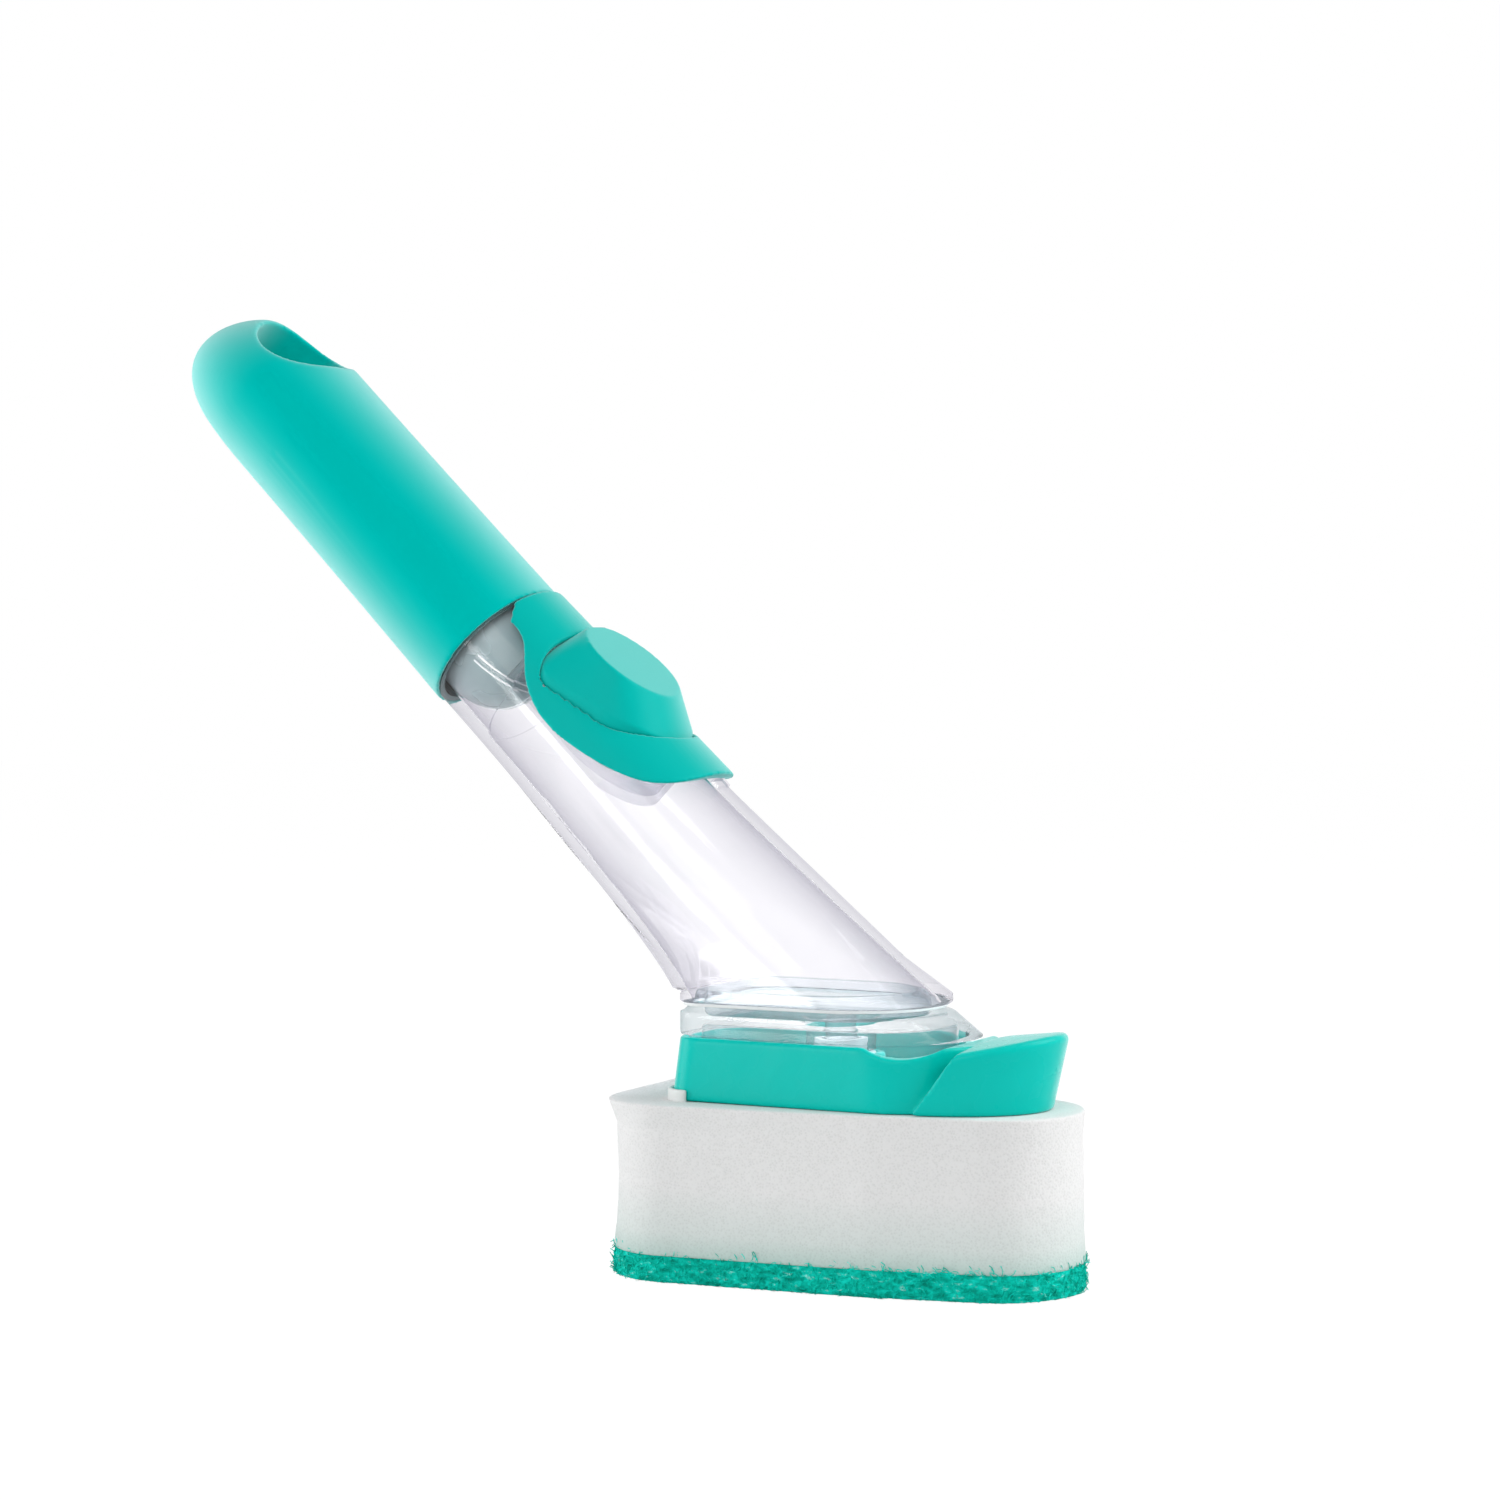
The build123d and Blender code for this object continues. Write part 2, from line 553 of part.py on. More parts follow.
def make_fill_plug():
    """A hollow stopper with a domed end, braced by two crossing ribs."""
    outside = PLUG_RADIUS
    cup = Cylinder(outside, PARTITION_LOW, align=(Align.CENTER, Align.CENTER, Align.MIN)) + Sphere(outside)
    inside = Cylinder(PLUG_SKIRT_BORE, PARTITION_LOW, align=(Align.CENTER, Align.CENTER, Align.MIN))
    inside += Sphere(outside - PLUG_WALL) & Pos(0, 0, -outside / 2) * Box(2 * outside, 2 * outside, outside)
    low = SEAL_AT - SEAL_WIRE - SLIDE_GAP
    high = SEAL_AT + SEAL_WIRE + SLIDE_GAP
    groove = revolved([(SEAL_BED, low), (outside + 1, low), (outside + 1, high), (SEAL_BED, high)])
    plate = Box(2 * outside, PLUG_RIB, 2 * outside)
    ribs = (plate + Rot(0, 0, 90) * plate) & inside
    below = Cylinder(outside + 1, outside + 1, align=(Align.CENTER, Align.CENTER, Align.MAX))
    above = Cylinder(outside + 1, PARTITION_LOW, align=(Align.CENTER, Align.CENTER, Align.MIN))
    boss = Cylinder(
        PLUG_BOSS_RADIUS, PLUG_BOSS_LENGTH + SEAL_AT, align=(Align.CENTER, Align.CENTER, Align.MIN)
    ) - Cylinder(PLUG_BOSS_RADIUS - PLUG_WALL, 4 * outside)
    return placed((cup & (below + above)) - inside - groove + ribs + Pos(0, 0, PARTITION_LOW - SEAL_AT) * boss)


def make_plug_seal():
    return placed(turned_ring(SEAL_MIDDLE, SEAL_WIRE, SEAL_AT))


# ------------------------------------------------------------------ pump button
def pump_turned(profile):
    """Turns a profile of (radius, height above the wand's axis) points about the button's axis."""
    plane = Plane(origin=(0, 0, -BUTTON_AT), x_dir=(0, 0, -1), z_dir=(1, 0, 0))
    return placed(plane * revolved(profile))


def facet_outline(radius):
    """The disc on the button's top, its upper side a little squared."""
    corner = Circle(radius - FACET_SQUARE)
    discs = [Pos(0, -FACET_SQUARE) * corner, Pos(0, FACET_SQUARE) * corner, Circle(radius)]
    return make_hull([disc.edges()[0] for disc in discs])


def button_form(inset):
    """An oblique cone that ends in the tilted facet, kept inside the plan of the opening."""
    low = Plane(origin=(BUTTON_SKIRT_FOOT, 0, -BUTTON_AT), x_dir=(0, 0, -1), z_dir=(1, 0, 0))
    foot = button_outline(SLOPE_SIDE - inset, SLOPE_FOOT_AT - BUTTON_BELLY - inset)
    tilt = radians(FACET_TILT)
    facet = Plane(
        origin=(FACET_HEIGHT - inset, 0, -FACET_AT), x_dir=(sin(tilt), 0, -cos(tilt)), z_dir=(cos(tilt), 0, sin(tilt))
    )
    cone = loft([low * foot, facet * facet_outline(FACET_RADIUS - inset * 0.8)], ruled=True)
    return cone & button_prism(-inset, BUTTON_SKIRT_FOOT - 1, FACET_HEIGHT + 10)


def make_button_cap():
    outside = button_form(0)
    cap = outside - button_form(BUTTON_WALL)
    boss = pump_frame(PLUNGER_STEM + BUTTON_BOSS_WALL, PLUNGER_TOP - 3, FACET_HEIGHT + 5)
    boss -= pump_frame(PLUNGER_STEM, PLUNGER_TOP - 4, PLUNGER_TOP)
    seat = pump_frame(SPRING_RADIUS + 1, SPRING_SEAT, FACET_HEIGHT + 5)
    seat -= pump_frame(SPRING_RADIUS - 1, SPRING_SEAT - 1, FACET_HEIGHT + 6)
    cap += (boss + seat) & outside
    upper_end = BUTTON_CORNER_AT - BUTTON_CORNER - TAB_LENGTH + TAB_ROOT / 2
    lower_end = BUTTON_BELLY_AT + BUTTON_BELLY + TAB_LENGTH - TAB_ROOT / 2
    for along in (upper_end, lower_end):
        cap += Pos(TAB_TOP - TAB_THICKNESS / 2, 0, -along) * Box(TAB_THICKNESS, TAB_WIDTH, TAB_ROOT)
    return placed(cap)


def make_button_plunger():
    return pump_turned(
        [
            (0, PLUNGER_LOW),
            (PLUNGER_RADIUS, PLUNGER_LOW),
            (PLUNGER_RADIUS, PLUNGER_LOW + PLUNGER_DISC),
            (PLUNGER_STEM - SEAT, PLUNGER_LOW + PLUNGER_DISC),
            (PLUNGER_STEM - SEAT, PLUNGER_TOP),
            (0, PLUNGER_TOP),
        ]
    )


def make_pump_diaphragm():
    low = WELL_FLOOR
    skin = DIAPHRAGM_THICKNESS
    return pump_turned(
        [
            (DIAPHRAGM_FLANGE, low),
            (DIAPHRAGM_FLANGE, low + skin),
            (PORT_RADIUS + skin, low + skin),
            (PLUNGER_RADIUS + skin, PLUNGER_LOW),
            (0, PLUNGER_LOW),
            (0, PLUNGER_LOW - skin),
            (PLUNGER_RADIUS, PLUNGER_LOW - skin),
            (PORT_RADIUS, low),
        ]
    )


def make_diaphragm_ring():
    low = WELL_FLOOR + DIAPHRAGM_THICKNESS
    inside = PORT_RADIUS + DIAPHRAGM_THICKNESS + PART_GAP
    high = low + RING_THICKNESS
    return pump_turned([(inside, low), (DIAPHRAGM_FLANGE, low), (DIAPHRAGM_FLANGE, high), (inside, high)])


def spring_point(turn, low, high):
    """A point on the wire's centre line, turn turns up from its lower end."""
    angle = 2 * pi * turn
    rise = (high - low) * turn / SPRING_TURNS
    return (SPRING_RADIUS * cos(angle), SPRING_RADIUS * sin(angle), low + rise)


def least_turn_gap(points):
    """The least gap in the wound wire between points of its centre line that lie a half turn or more apart."""
    apart = SPRING_STEPS // 2
    between = [
        sqrt(sum((a - b) ** 2 for a, b in zip(first, second)))
        for place, first in enumerate(points)
        for second in points[place + apart :]
    ]
    return min(between) - SPRING_WIRE


def make_return_spring():
    """One wire wound between the ring and the button's seat, in short straight steps."""
    low = SPRING_WIRE / 2
    high = SPRING_SEAT - WELL_FLOOR - DIAPHRAGM_THICKNESS - RING_THICKNESS - SPRING_WIRE / 2
    count = SPRING_TURNS * SPRING_STEPS
    points = [spring_point(step / SPRING_STEPS, low, high) for step in range(count + 1)]
    path = Polyline(*points)
    section = Plane(origin=points[0], z_dir=path % 0) * RegularPolygon(SPRING_WIRE / 2, 6)
    coil = sweep(section, path, transition=Transition.RIGHT)
    gap = least_turn_gap(points)
    print(f"spring: least gap between turns {gap:.2f} mm")
    assert gap > SPRING_LEAST_GAP
    seat = WELL_FLOOR + DIAPHRAGM_THICKNESS + RING_THICKNESS
    plane = Plane(origin=(seat, 0, -BUTTON_AT), x_dir=(0, 0, -1), z_dir=(1, 0, 0))
    return placed(plane * coil)


def make_button_bezel():
    """A leaf-shaped saddle cut from a slim cone, its side edges drawn by one curve."""
    cone = revolved(
        [(0, -BEZEL_TOP), (BEZEL_UPPER_RADIUS, -BEZEL_TOP), (BEZEL_LOWER_RADIUS, -BEZEL_TIP), (0, -BEZEL_TIP)]
    )
    over = BEZEL_LOWER_RADIUS + BEZEL_OVER
    corner = (BEZEL_CORNER, 0, -BEZEL_TOP)
    point = (BEZEL_POINT, 0, -BEZEL_TIP)
    edge = Spline(*[(height, 0, -along) for height, along in BEZEL_EDGE], point)
    rest = Polyline(point, (over, 0, -BEZEL_TIP), (over, 0, -BEZEL_TOP), corner, edge @ 0)
    leaf = extrude(make_face(edge + rest), over + BEZEL_OVER, both=True)
    opening = button_prism(BUTTON_GAP, 0, over + BEZEL_OVER)
    return placed((cone & leaf) - opening) - tank_body(-SEAT, -BEZEL_OVER)


# ------------------------------------------------------------------ sponge head
def carrier_outline(inset, lean=0.0):
    """The cup's outline at its foot, drawn in all round, with the back leant in."""
    half = CARRIER_HALF - inset
    corner = CARRIER_CORNER - inset * 0.5
    return d_outline(CARRIER_BACK + lean + inset, CARRIER_FRONT - inset, half, corner, half * 0.98)


def nose_form(inset, top):
    """Oval cone that flares towards its top."""
    share = (top - FOAM_TOP) / NOSE_HEIGHT
    reach = NOSE_FOOT_REACH + (NOSE_TOP_REACH - NOSE_FOOT_REACH) * share
    half = NOSE_FOOT_HALF + (NOSE_TOP_HALF - NOSE_FOOT_HALF) * share
    foot = Pos(NOSE_CENTRE, 0, FOAM_TOP) * Ellipse(NOSE_FOOT_REACH - inset, NOSE_FOOT_HALF - inset)
    return loft([foot, Pos(NOSE_CENTRE, 0, top) * Ellipse(reach - inset, half - inset)], ruled=True)


def thumb_crown(nose_top):
    """A long cylinder whose upper side is the thumb rest: it rises forwards and is crowned across."""
    rise = radians(THUMB_RISE)
    along = (cos(rise), 0, sin(rise))
    tip = NOSE_CENTRE + NOSE_TOP_REACH
    middle = (tip + THUMB_CROWN * sin(rise), 0, nose_top - THUMB_CROWN * cos(rise))
    return Plane(origin=middle, z_dir=along) * Cylinder(THUMB_CROWN, 4 * CARRIER_HALF)


def make_head_carrier():
    cup = loft(
        [
            Pos(0, 0, FOAM_TOP) * carrier_outline(0),
            Pos(0, 0, CARRIER_TOP) * carrier_outline(0.3, CARRIER_LEAN),
        ],
        ruled=True,
    )
    nose_top = FOAM_TOP + NOSE_HEIGHT
    shoulder = make_face(
        Polyline(
            (NOSE_START_FOOT, 0, FOAM_TOP),
            (NOSE_START_FOOT + 60, 0, FOAM_TOP),
            (NOSE_START_FOOT + 60, 0, nose_top),
            (NOSE_START_TOP, 0, nose_top),
            close=True,
        )
    )
    nose = nose_form(0, nose_top) & extrude(shoulder, 40, both=True)
    nose &= thumb_crown(nose_top)
    rim = nose.faces().sort_by(Axis.Z)[-1].edges().sort_by(Axis.X)[-1]
    nose = fillet(rim, THUMB_EDGE)
    dip = Pos(DIP_X, 0, CARRIER_TOP - DIP_DEPTH + DIP_RADIUS) * Rot(90, 0, 0) * Cylinder(DIP_RADIUS, 4 * CARRIER_HALF)
    pocket = nose_form(NOSE_WALL, FOAM_TOP + NOSE_POCKET) & Pos(SKIRT_FRONT + 3 + 30, 0, FOAM_TOP) * Box(60, 80, 80)
    seat = slab(skirt_outline(-PART_GAP), FOAM_TOP + CARRIER_FLOOR, nose_top)
    boss = on_nozzle(
        slab(Circle(NOZZLE_SOCKET + SOCKET_WALL) - Circle(NOZZLE_SOCKET), FOAM_TOP + CARRIER_FLOOR, SOCKET_TOP)
    )
    hole = on_nozzle(slab(Circle(SOAP_HOLE), FOAM_TOP - 1, FOAM_TOP + CARRIER_FLOOR + 1))
    return (cup - dip) + nose - pocket - seat + boss - hole


def make_sponge_plate():
    """The bonding plate under the cup, with a lip that shows behind it."""
    plate = slab(carrier_outline(1.0), FOAM_TOP - PLATE_THICKNESS, FOAM_TOP)
    lip_outline = carrier_outline(-PLATE_LIP) - carrier_outline(-SEAT)
    behind = Pos(CARRIER_BACK - 10 + CARRIER_CORNER, 0, 0) * Rectangle(20, 4 * CARRIER_HALF)
    lip = slab(lip_outline & behind, FOAM_TOP, FOAM_TOP + PLATE_LIP_HEIGHT)
    web = slab(carrier_outline(-PLATE_LIP) & behind, FOAM_TOP - PLATE_THICKNESS, FOAM_TOP)
    hole = on_nozzle(slab(Circle(SOAP_HOLE), FOAM_TOP - 5, FOAM_TOP + 1))
    return plate + web + lip - hole


def sponge_outline(grow_back, grow_front):
    """A teardrop: the hull of two back corners, the bulge of the sides and the nose."""
    corner_x = SPONGE_CORNER_RADIUS_X
    corner_y = SPONGE_BACK_HALF - SPONGE_BACK_CORNER
    corner = Circle(SPONGE_BACK_CORNER + grow_back)
    bulge = Circle(SPONGE_MID_HALF + (grow_back + grow_front) / 2)
    nose = Circle(SPONGE_NOSE + grow_front)
    discs = [
        Pos(corner_x, -corner_y) * corner,
        Pos(corner_x, corner_y) * corner,
        Pos(SPONGE_MID_X, 0) * bulge,
        Pos(SPONGE_FRONT - SPONGE_NOSE, 0) * nose,
    ]
    return make_hull([disc.edges()[0] for disc in discs])


def make_sponge_foam(plate):
    levels = [
        (0.0, FOAM_FLARE_FOOT, 0.3),
        (0.2, 0.35, 0.1),
        (0.5, 0.0, 0.0),
        (0.85, 0.3, 0.0),
        (1.0, FOAM_FLARE_TOP, 0.2),
    ]
    sections = [
        Pos(0, 0, SCOURER_THICKNESS + FOAM_THICKNESS * share) * sponge_outline(back, front)
        for share, back, front in levels
    ]
    return loft(sections) - plate


def make_scourer_pad():
    return extrude(sponge_outline(FOAM_FLARE_FOOT, 0.5), SCOURER_THICKNESS)


def main():
    plate = make_sponge_plate()
    pieces = {
        "handle_grip": make_handle_grip(),
        "handle_core": make_handle_core(),
        "fill_plug": make_fill_plug(),
        "plug_seal": make_plug_seal(),
        "reservoir": make_reservoir(),
        "button_bezel": make_button_bezel(),
        "button_cap": make_button_cap(),
        "button_plunger": make_button_plunger(),
        "return_spring": make_return_spring(),
        "pump_diaphragm": make_pump_diaphragm(),
        "diaphragm_ring": make_diaphragm_ring(),
        "base_cap": make_base_cap(),
        "base_gasket": make_base_gasket(),
        "outlet_valve": make_outlet_valve(),
        "valve_retainer": make_valve_retainer(),
        "nozzle_seal": make_nozzle_seal(),
        "head_carrier": make_head_carrier(),
        "sponge_plate": plate,
        "sponge_foam": make_sponge_foam(plate),
        "scourer_pad": make_scourer_pad(),
    }
    for name, piece in pieces.items():
        print(f"{name:16s} {piece.volume:10.1f} mm3  solids {len(piece.solids())}")
        export_step(piece, f"parts/{name}.step")


main()
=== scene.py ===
# %% [markdown]
# # A soap-dispensing dish wand
#
# The wand is a clear slanting tank with a soft round handle on top and a sponge head below.
# A pump button sits in a leaf-shaped bezel on the tank's upper side. The frame that is
# loaded here holds every construction piece at its real size. This script dresses it: it
# builds smooth skins for what shows, cuts the foam and the scourer, and mixes a finish
# for each material. All sizes are in millimetres and are turned into metres by MM.

# %% Load the frame
import json
from math import cos, pi, radians, sin, sqrt

import bmesh
import bpy
import numpy as np
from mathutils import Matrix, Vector


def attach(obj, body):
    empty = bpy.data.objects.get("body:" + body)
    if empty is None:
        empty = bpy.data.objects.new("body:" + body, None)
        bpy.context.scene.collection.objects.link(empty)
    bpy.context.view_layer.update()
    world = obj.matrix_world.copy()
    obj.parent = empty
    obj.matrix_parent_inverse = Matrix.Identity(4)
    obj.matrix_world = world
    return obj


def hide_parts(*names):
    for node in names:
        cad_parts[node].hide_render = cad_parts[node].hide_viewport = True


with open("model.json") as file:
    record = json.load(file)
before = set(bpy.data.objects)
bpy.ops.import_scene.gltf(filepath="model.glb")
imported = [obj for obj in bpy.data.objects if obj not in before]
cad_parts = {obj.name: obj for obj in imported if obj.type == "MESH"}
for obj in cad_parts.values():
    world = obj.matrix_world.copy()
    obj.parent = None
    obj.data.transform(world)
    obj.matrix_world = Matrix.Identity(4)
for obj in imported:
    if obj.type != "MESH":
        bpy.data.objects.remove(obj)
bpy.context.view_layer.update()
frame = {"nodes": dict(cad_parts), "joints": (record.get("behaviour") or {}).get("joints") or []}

MM = 0.001

# %% [markdown]
# ## The wand's own frame
#
# Tank, handle and button all line up on one slanting axis. The joint that turns the handle
# holds that axis and the middle of the handle's rim, so they are read from it. A point in
# the wand's frame is (towards the button, across, towards the tip).

# %% Read the axis from the handle's joint
handle_turn = next(joint for joint in frame["joints"] if joint["name"] == "handle_turn")
RIM = np.array(handle_turn["pos_m"]) / MM
TIP_WAY = np.array(handle_turn["axis"]) / np.linalg.norm(handle_turn["axis"])
SIDE_WAY = np.array([0.0, 1.0, 0.0])
BUTTON_WAY = np.cross(SIDE_WAY, TIP_WAY)


def from_wand(points):
    """Points of the wand's frame, in millimetres, as points of the object's frame."""
    p = np.asarray(points, float)
    return RIM + p[..., 0:1] * BUTTON_WAY + p[..., 1:2] * SIDE_WAY + p[..., 2:3] * TIP_WAY


print("rim centre:", RIM.round(1), "tip way:", TIP_WAY.round(3))

# %% [markdown]
# ## The camera
#
# The picture is a long-lens product shot from just above the sponge, from the front left.
# The camera comes first.

# %% Set the camera
VIEW_AROUND = radians(27.13)
VIEW_ABOVE = radians(1.78)
VIEW_DISTANCE = 675.6
VIEW_TARGET = np.array([-23.5, 0.0, 104.2])
FRAME_PIXELS = 1500
FOCAL_PIXELS = 3343.2
SENSOR = 36.0
CLIP_RANGE = (0.01, 20.0)

back = np.array(
    [sin(VIEW_AROUND) * cos(VIEW_ABOVE), -cos(VIEW_AROUND) * cos(VIEW_ABOVE), sin(VIEW_ABOVE)]
)
camera_data = bpy.data.cameras.new("camera")
camera_data.sensor_width = SENSOR
camera_data.lens = FOCAL_PIXELS / FRAME_PIXELS * SENSOR
camera_data.clip_start, camera_data.clip_end = CLIP_RANGE
camera = bpy.data.objects.new("camera", camera_data)
bpy.context.collection.objects.link(camera)
camera.location = Vector((VIEW_TARGET + back * VIEW_DISTANCE) * MM)
camera.rotation_mode = "QUATERNION"
camera.rotation_quaternion = Vector(-back).to_track_quat("-Z", "Y")
bpy.context.scene.camera = camera
bpy.context.scene.view_settings.view_transform = "Standard"

# %% [markdown]
# ## Light, floor and white ground
#
# The product stands in a white studio. Rays from the camera, from gloss and through clear
# plastic see plain white. Only the light that falls on the pieces is dimmer and shaped by
# large soft lamps, which give the long pale bands along the handle.

# %% Build the world
WORLD_LIGHT = 0.36
WHITE = (1.0, 1.0, 1.0, 1.0)


def node(tree, kind, **values):
    """Adds a node and sets its plain properties."""
    made = tree.nodes.new(kind)
    for name, value in values.items():
        setattr(made, name, value)
    return made


def seen_directly(tree):
    """A share that is 1 for rays from the camera, from gloss and through clear plastic."""
    path = node(tree, "ShaderNodeLightPath")
    first = node(tree, "ShaderNodeMath", operation="MAXIMUM")
    second = node(tree, "ShaderNodeMath", operation="MAXIMUM")
    tree.links.new(path.outputs["Is Camera Ray"], first.inputs[0])
    tree.links.new(path.outputs["Is Glossy Ray"], first.inputs[1])
    tree.links.new(first.outputs[0], second.inputs[0])
    tree.links.new(path.outputs["Is Transmission Ray"], second.inputs[1])
    return second.outputs[0]


world = bpy.data.worlds.new("white studio")
bpy.context.scene.world = world
world.use_nodes = True
tree = world.node_tree
tree.nodes.clear()
light = node(tree, "ShaderNodeBackground")
light.inputs["Color"].default_value = WHITE
light.inputs["Strength"].default_value = WORLD_LIGHT
ground = node(tree, "ShaderNodeBackground")
ground.inputs["Color"].default_value = WHITE
ground.inputs["Strength"].default_value = 1.0
choice = node(tree, "ShaderNodeMixShader")
out = node(tree, "ShaderNodeOutputWorld")
tree.links.new(seen_directly(tree), choice.inputs[0])
tree.links.new(light.outputs[0], choice.inputs[1])
tree.links.new(ground.outputs[0], choice.inputs[2])
tree.links.new(choice.outputs[0], out.inputs[0])

# %% [markdown]
# Three soft boxes do the modelling. One from the lower left lights the flank under the
# handle, one from the upper right and behind washes its top edge almost to white, and a
# large one in front fills the rest. A slim fourth box shows only in gloss, as a streak down
# the clear tank.

# %% Hang the soft boxes
LAMPS = {
    # name: (place in millimetres, width and height in millimetres, power in watts)
    "left_box": ((-620.0, -260.0, 60.0), (350.0, 600.0), 3.2),
    "right_box": ((420.0, 160.0, 420.0), (380.0, 520.0), 2.6),
    "front_box": ((60.0, -760.0, 520.0), (600.0, 500.0), 1.9),
    "slim_box": ((-330.0, -640.0, 60.0), (70.0, 420.0), 1.1),
}
LAMP_AIM = Vector((-0.03, 0.0, 0.1))


def soft_box(name, place, size, power):
    """A rectangular lamp at a place in millimetres, turned to the object."""
    data = bpy.data.lights.new(name, "AREA")
    data.shape = "RECTANGLE"
    data.size = size[0] * MM
    data.size_y = size[1] * MM
    data.energy = power
    lamp = bpy.data.objects.new(name, data)
    bpy.context.collection.objects.link(lamp)
    lamp.location = Vector(place) * MM
    lamp.rotation_mode = "QUATERNION"
    lamp.rotation_quaternion = (LAMP_AIM - lamp.location).to_track_quat("-Z", "Y")


for name, (place, size, power) in LAMPS.items():
    soft_box(name, place, size, power)
bpy.data.objects["slim_box"].visible_diffuse = False
print("soft boxes:", len(LAMPS))

# %% [markdown]
# The floor is a pale disc that fades into the white ground. It keeps a light soft shadow
# under the sponge, so that the object stands on something.

# %% Lay the floor
FLOOR_RADIUS = 3000.0
FLOOR_SHADOW = 0.12
FLOOR_GLOW = 1.09
FLOOR_TONE = (0.9, 0.9, 0.9, 1.0)
FLOOR_SIDES = 96
FLOOR_DROP = 0.2

mesh = bpy.data.meshes.new("floor")
bm = bmesh.new()
bmesh.ops.create_circle(bm, cap_ends=True, segments=FLOOR_SIDES, radius=FLOOR_RADIUS * MM)
bm.to_mesh(mesh)
bm.free()
floor = bpy.data.objects.new("floor", mesh)
bpy.context.collection.objects.link(floor)
floor.location.z = -FLOOR_DROP * MM
paint = bpy.data.materials.new("floor white")
paint.use_nodes = True
tree = paint.node_tree
tree.nodes.clear()
matt = node(tree, "ShaderNodeBsdfDiffuse")
matt.inputs["Color"].default_value = FLOOR_TONE
glow = node(tree, "ShaderNodeEmission")
glow.inputs["Strength"].default_value = FLOOR_GLOW
keep = node(tree, "ShaderNodeMath", operation="MULTIPLY")
keep.inputs[1].default_value = 1.0 - FLOOR_SHADOW
blend = node(tree, "ShaderNodeMixShader")
out = node(tree, "ShaderNodeOutputMaterial")
tree.links.new(seen_directly(tree), keep.inputs[0])
tree.links.new(keep.outputs[0], blend.inputs[0])
tree.links.new(matt.outputs[0], blend.inputs[1])
tree.links.new(glow.outputs[0], blend.inputs[2])
tree.links.new(blend.outputs[0], out.inputs[0])
mesh.materials.append(paint)

# %% [markdown]
# ## Finishes
#
# Every finish starts from the same three ideas: a colour that drifts a little over the
# piece, a roughness that is not quite even, and a fine relief. The helper below wires them
# to one Principled shader, from Object coordinates, so nothing slides when a piece moves.

# %% A helper for moulded finishes
NOISE_RANGE = (0.3, 0.7)
DRIFT_SCALE = 28.0
DRIFT_STOPS = (0.35, 0.65)


def noise(tree, scale, detail=3.0, stretch=None):
    """Noise on object coordinates, in waves per metre, stretched along an axis if asked."""
    place = node(tree, "ShaderNodeTexCoord")
    made = node(tree, "ShaderNodeTexNoise")
    made.inputs["Scale"].default_value = scale
    made.inputs["Detail"].default_value = detail
    if stretch is None:
        tree.links.new(place.outputs["Object"], made.inputs["Vector"])
    else:
        turned = node(tree, "ShaderNodeMapping")
        turned.inputs["Scale"].default_value = stretch
        tree.links.new(place.outputs["Object"], turned.inputs["Vector"])
        tree.links.new(turned.outputs["Vector"], made.inputs["Vector"])
    return made.outputs["Fac"]


def ramp(tree, value, stops):
    """A colour ramp with (position, colour) stops."""
    stops = list(stops)
    made = node(tree, "ShaderNodeValToRGB")
    line = made.color_ramp
    while len(line.elements) < len(stops):
        line.elements.new(0.5)
    for element, (position, colour) in zip(line.elements, stops):
        element.position = position
        element.color = (*colour, 1.0)
    tree.links.new(value, made.inputs["Fac"])
    return made.outputs["Color"]


def spread(tree, value, low, high):
    """Maps a noise value, which seldom leaves its own middle range, onto a range."""
    made = node(tree, "ShaderNodeMapRange")
    made.inputs["From Min"].default_value = NOISE_RANGE[0]
    made.inputs["From Max"].default_value = NOISE_RANGE[1]
    made.inputs["To Min"].default_value = low
    made.inputs["To Max"].default_value = high
    tree.links.new(value, made.inputs["Value"])
    return made.outputs["Result"]


def bump(tree, height, distance, strength=1.0):
    """A relief of this depth in metres, as a normal for the shader."""
    made = node(tree, "ShaderNodeBump")
    made.inputs["Distance"].default_value = distance
    made.inputs["Strength"].default_value = strength
    tree.links.new(height, made.inputs["Height"])
    return made.outputs["Normal"]


def moulded(
    name, light_tone, dark_tone, rough, grain, relief, gloss=0.25, painted_sheen=None, painted_sheen_from=0.0
):
    """A plastic or rubber: two close tones, a roughness range, a grain and its relief.

    The painted sheen is a pale tone painted into the colour where a surface is seen at a
    glancing angle, and it sets in from a share of the turn away from the eye.
    """
    made = bpy.data.materials.new(name)
    made.use_nodes = True
    tree = made.node_tree
    shader = tree.nodes["Principled BSDF"]
    drift = noise(tree, DRIFT_SCALE, 2.0)
    tone = ramp(tree, drift, zip(DRIFT_STOPS, (dark_tone, light_tone)))
    # Painted sheen: the colour is painted paler where the surface turns away from the eye.
    if painted_sheen:
        glance = node(tree, "ShaderNodeLayerWeight")
        glance.inputs["Blend"].default_value = 0.5
        share = node(tree, "ShaderNodeMapRange", interpolation_type="SMOOTHSTEP")
        share.inputs["From Min"].default_value = painted_sheen_from
        share.inputs["From Max"].default_value = 1.0
        tree.links.new(glance.outputs["Facing"], share.inputs["Value"])
        sheen_paint = node(tree, "ShaderNodeMix", data_type="RGBA")
        tree.links.new(share.outputs["Result"], sheen_paint.inputs["Factor"])
        tree.links.new(tone, sheen_paint.inputs["A"])
        sheen_paint.inputs["B"].default_value = (*painted_sheen, 1.0)
        tone = sheen_paint.outputs["Result"]
    tree.links.new(tone, shader.inputs["Base Color"])
    fine = noise(tree, grain, 2.0)
    tree.links.new(spread(tree, fine, *rough), shader.inputs["Roughness"])
    tree.links.new(bump(tree, fine, relief), shader.inputs["Normal"])
    shader.inputs["Specular IOR Level"].default_value = gloss
    return made
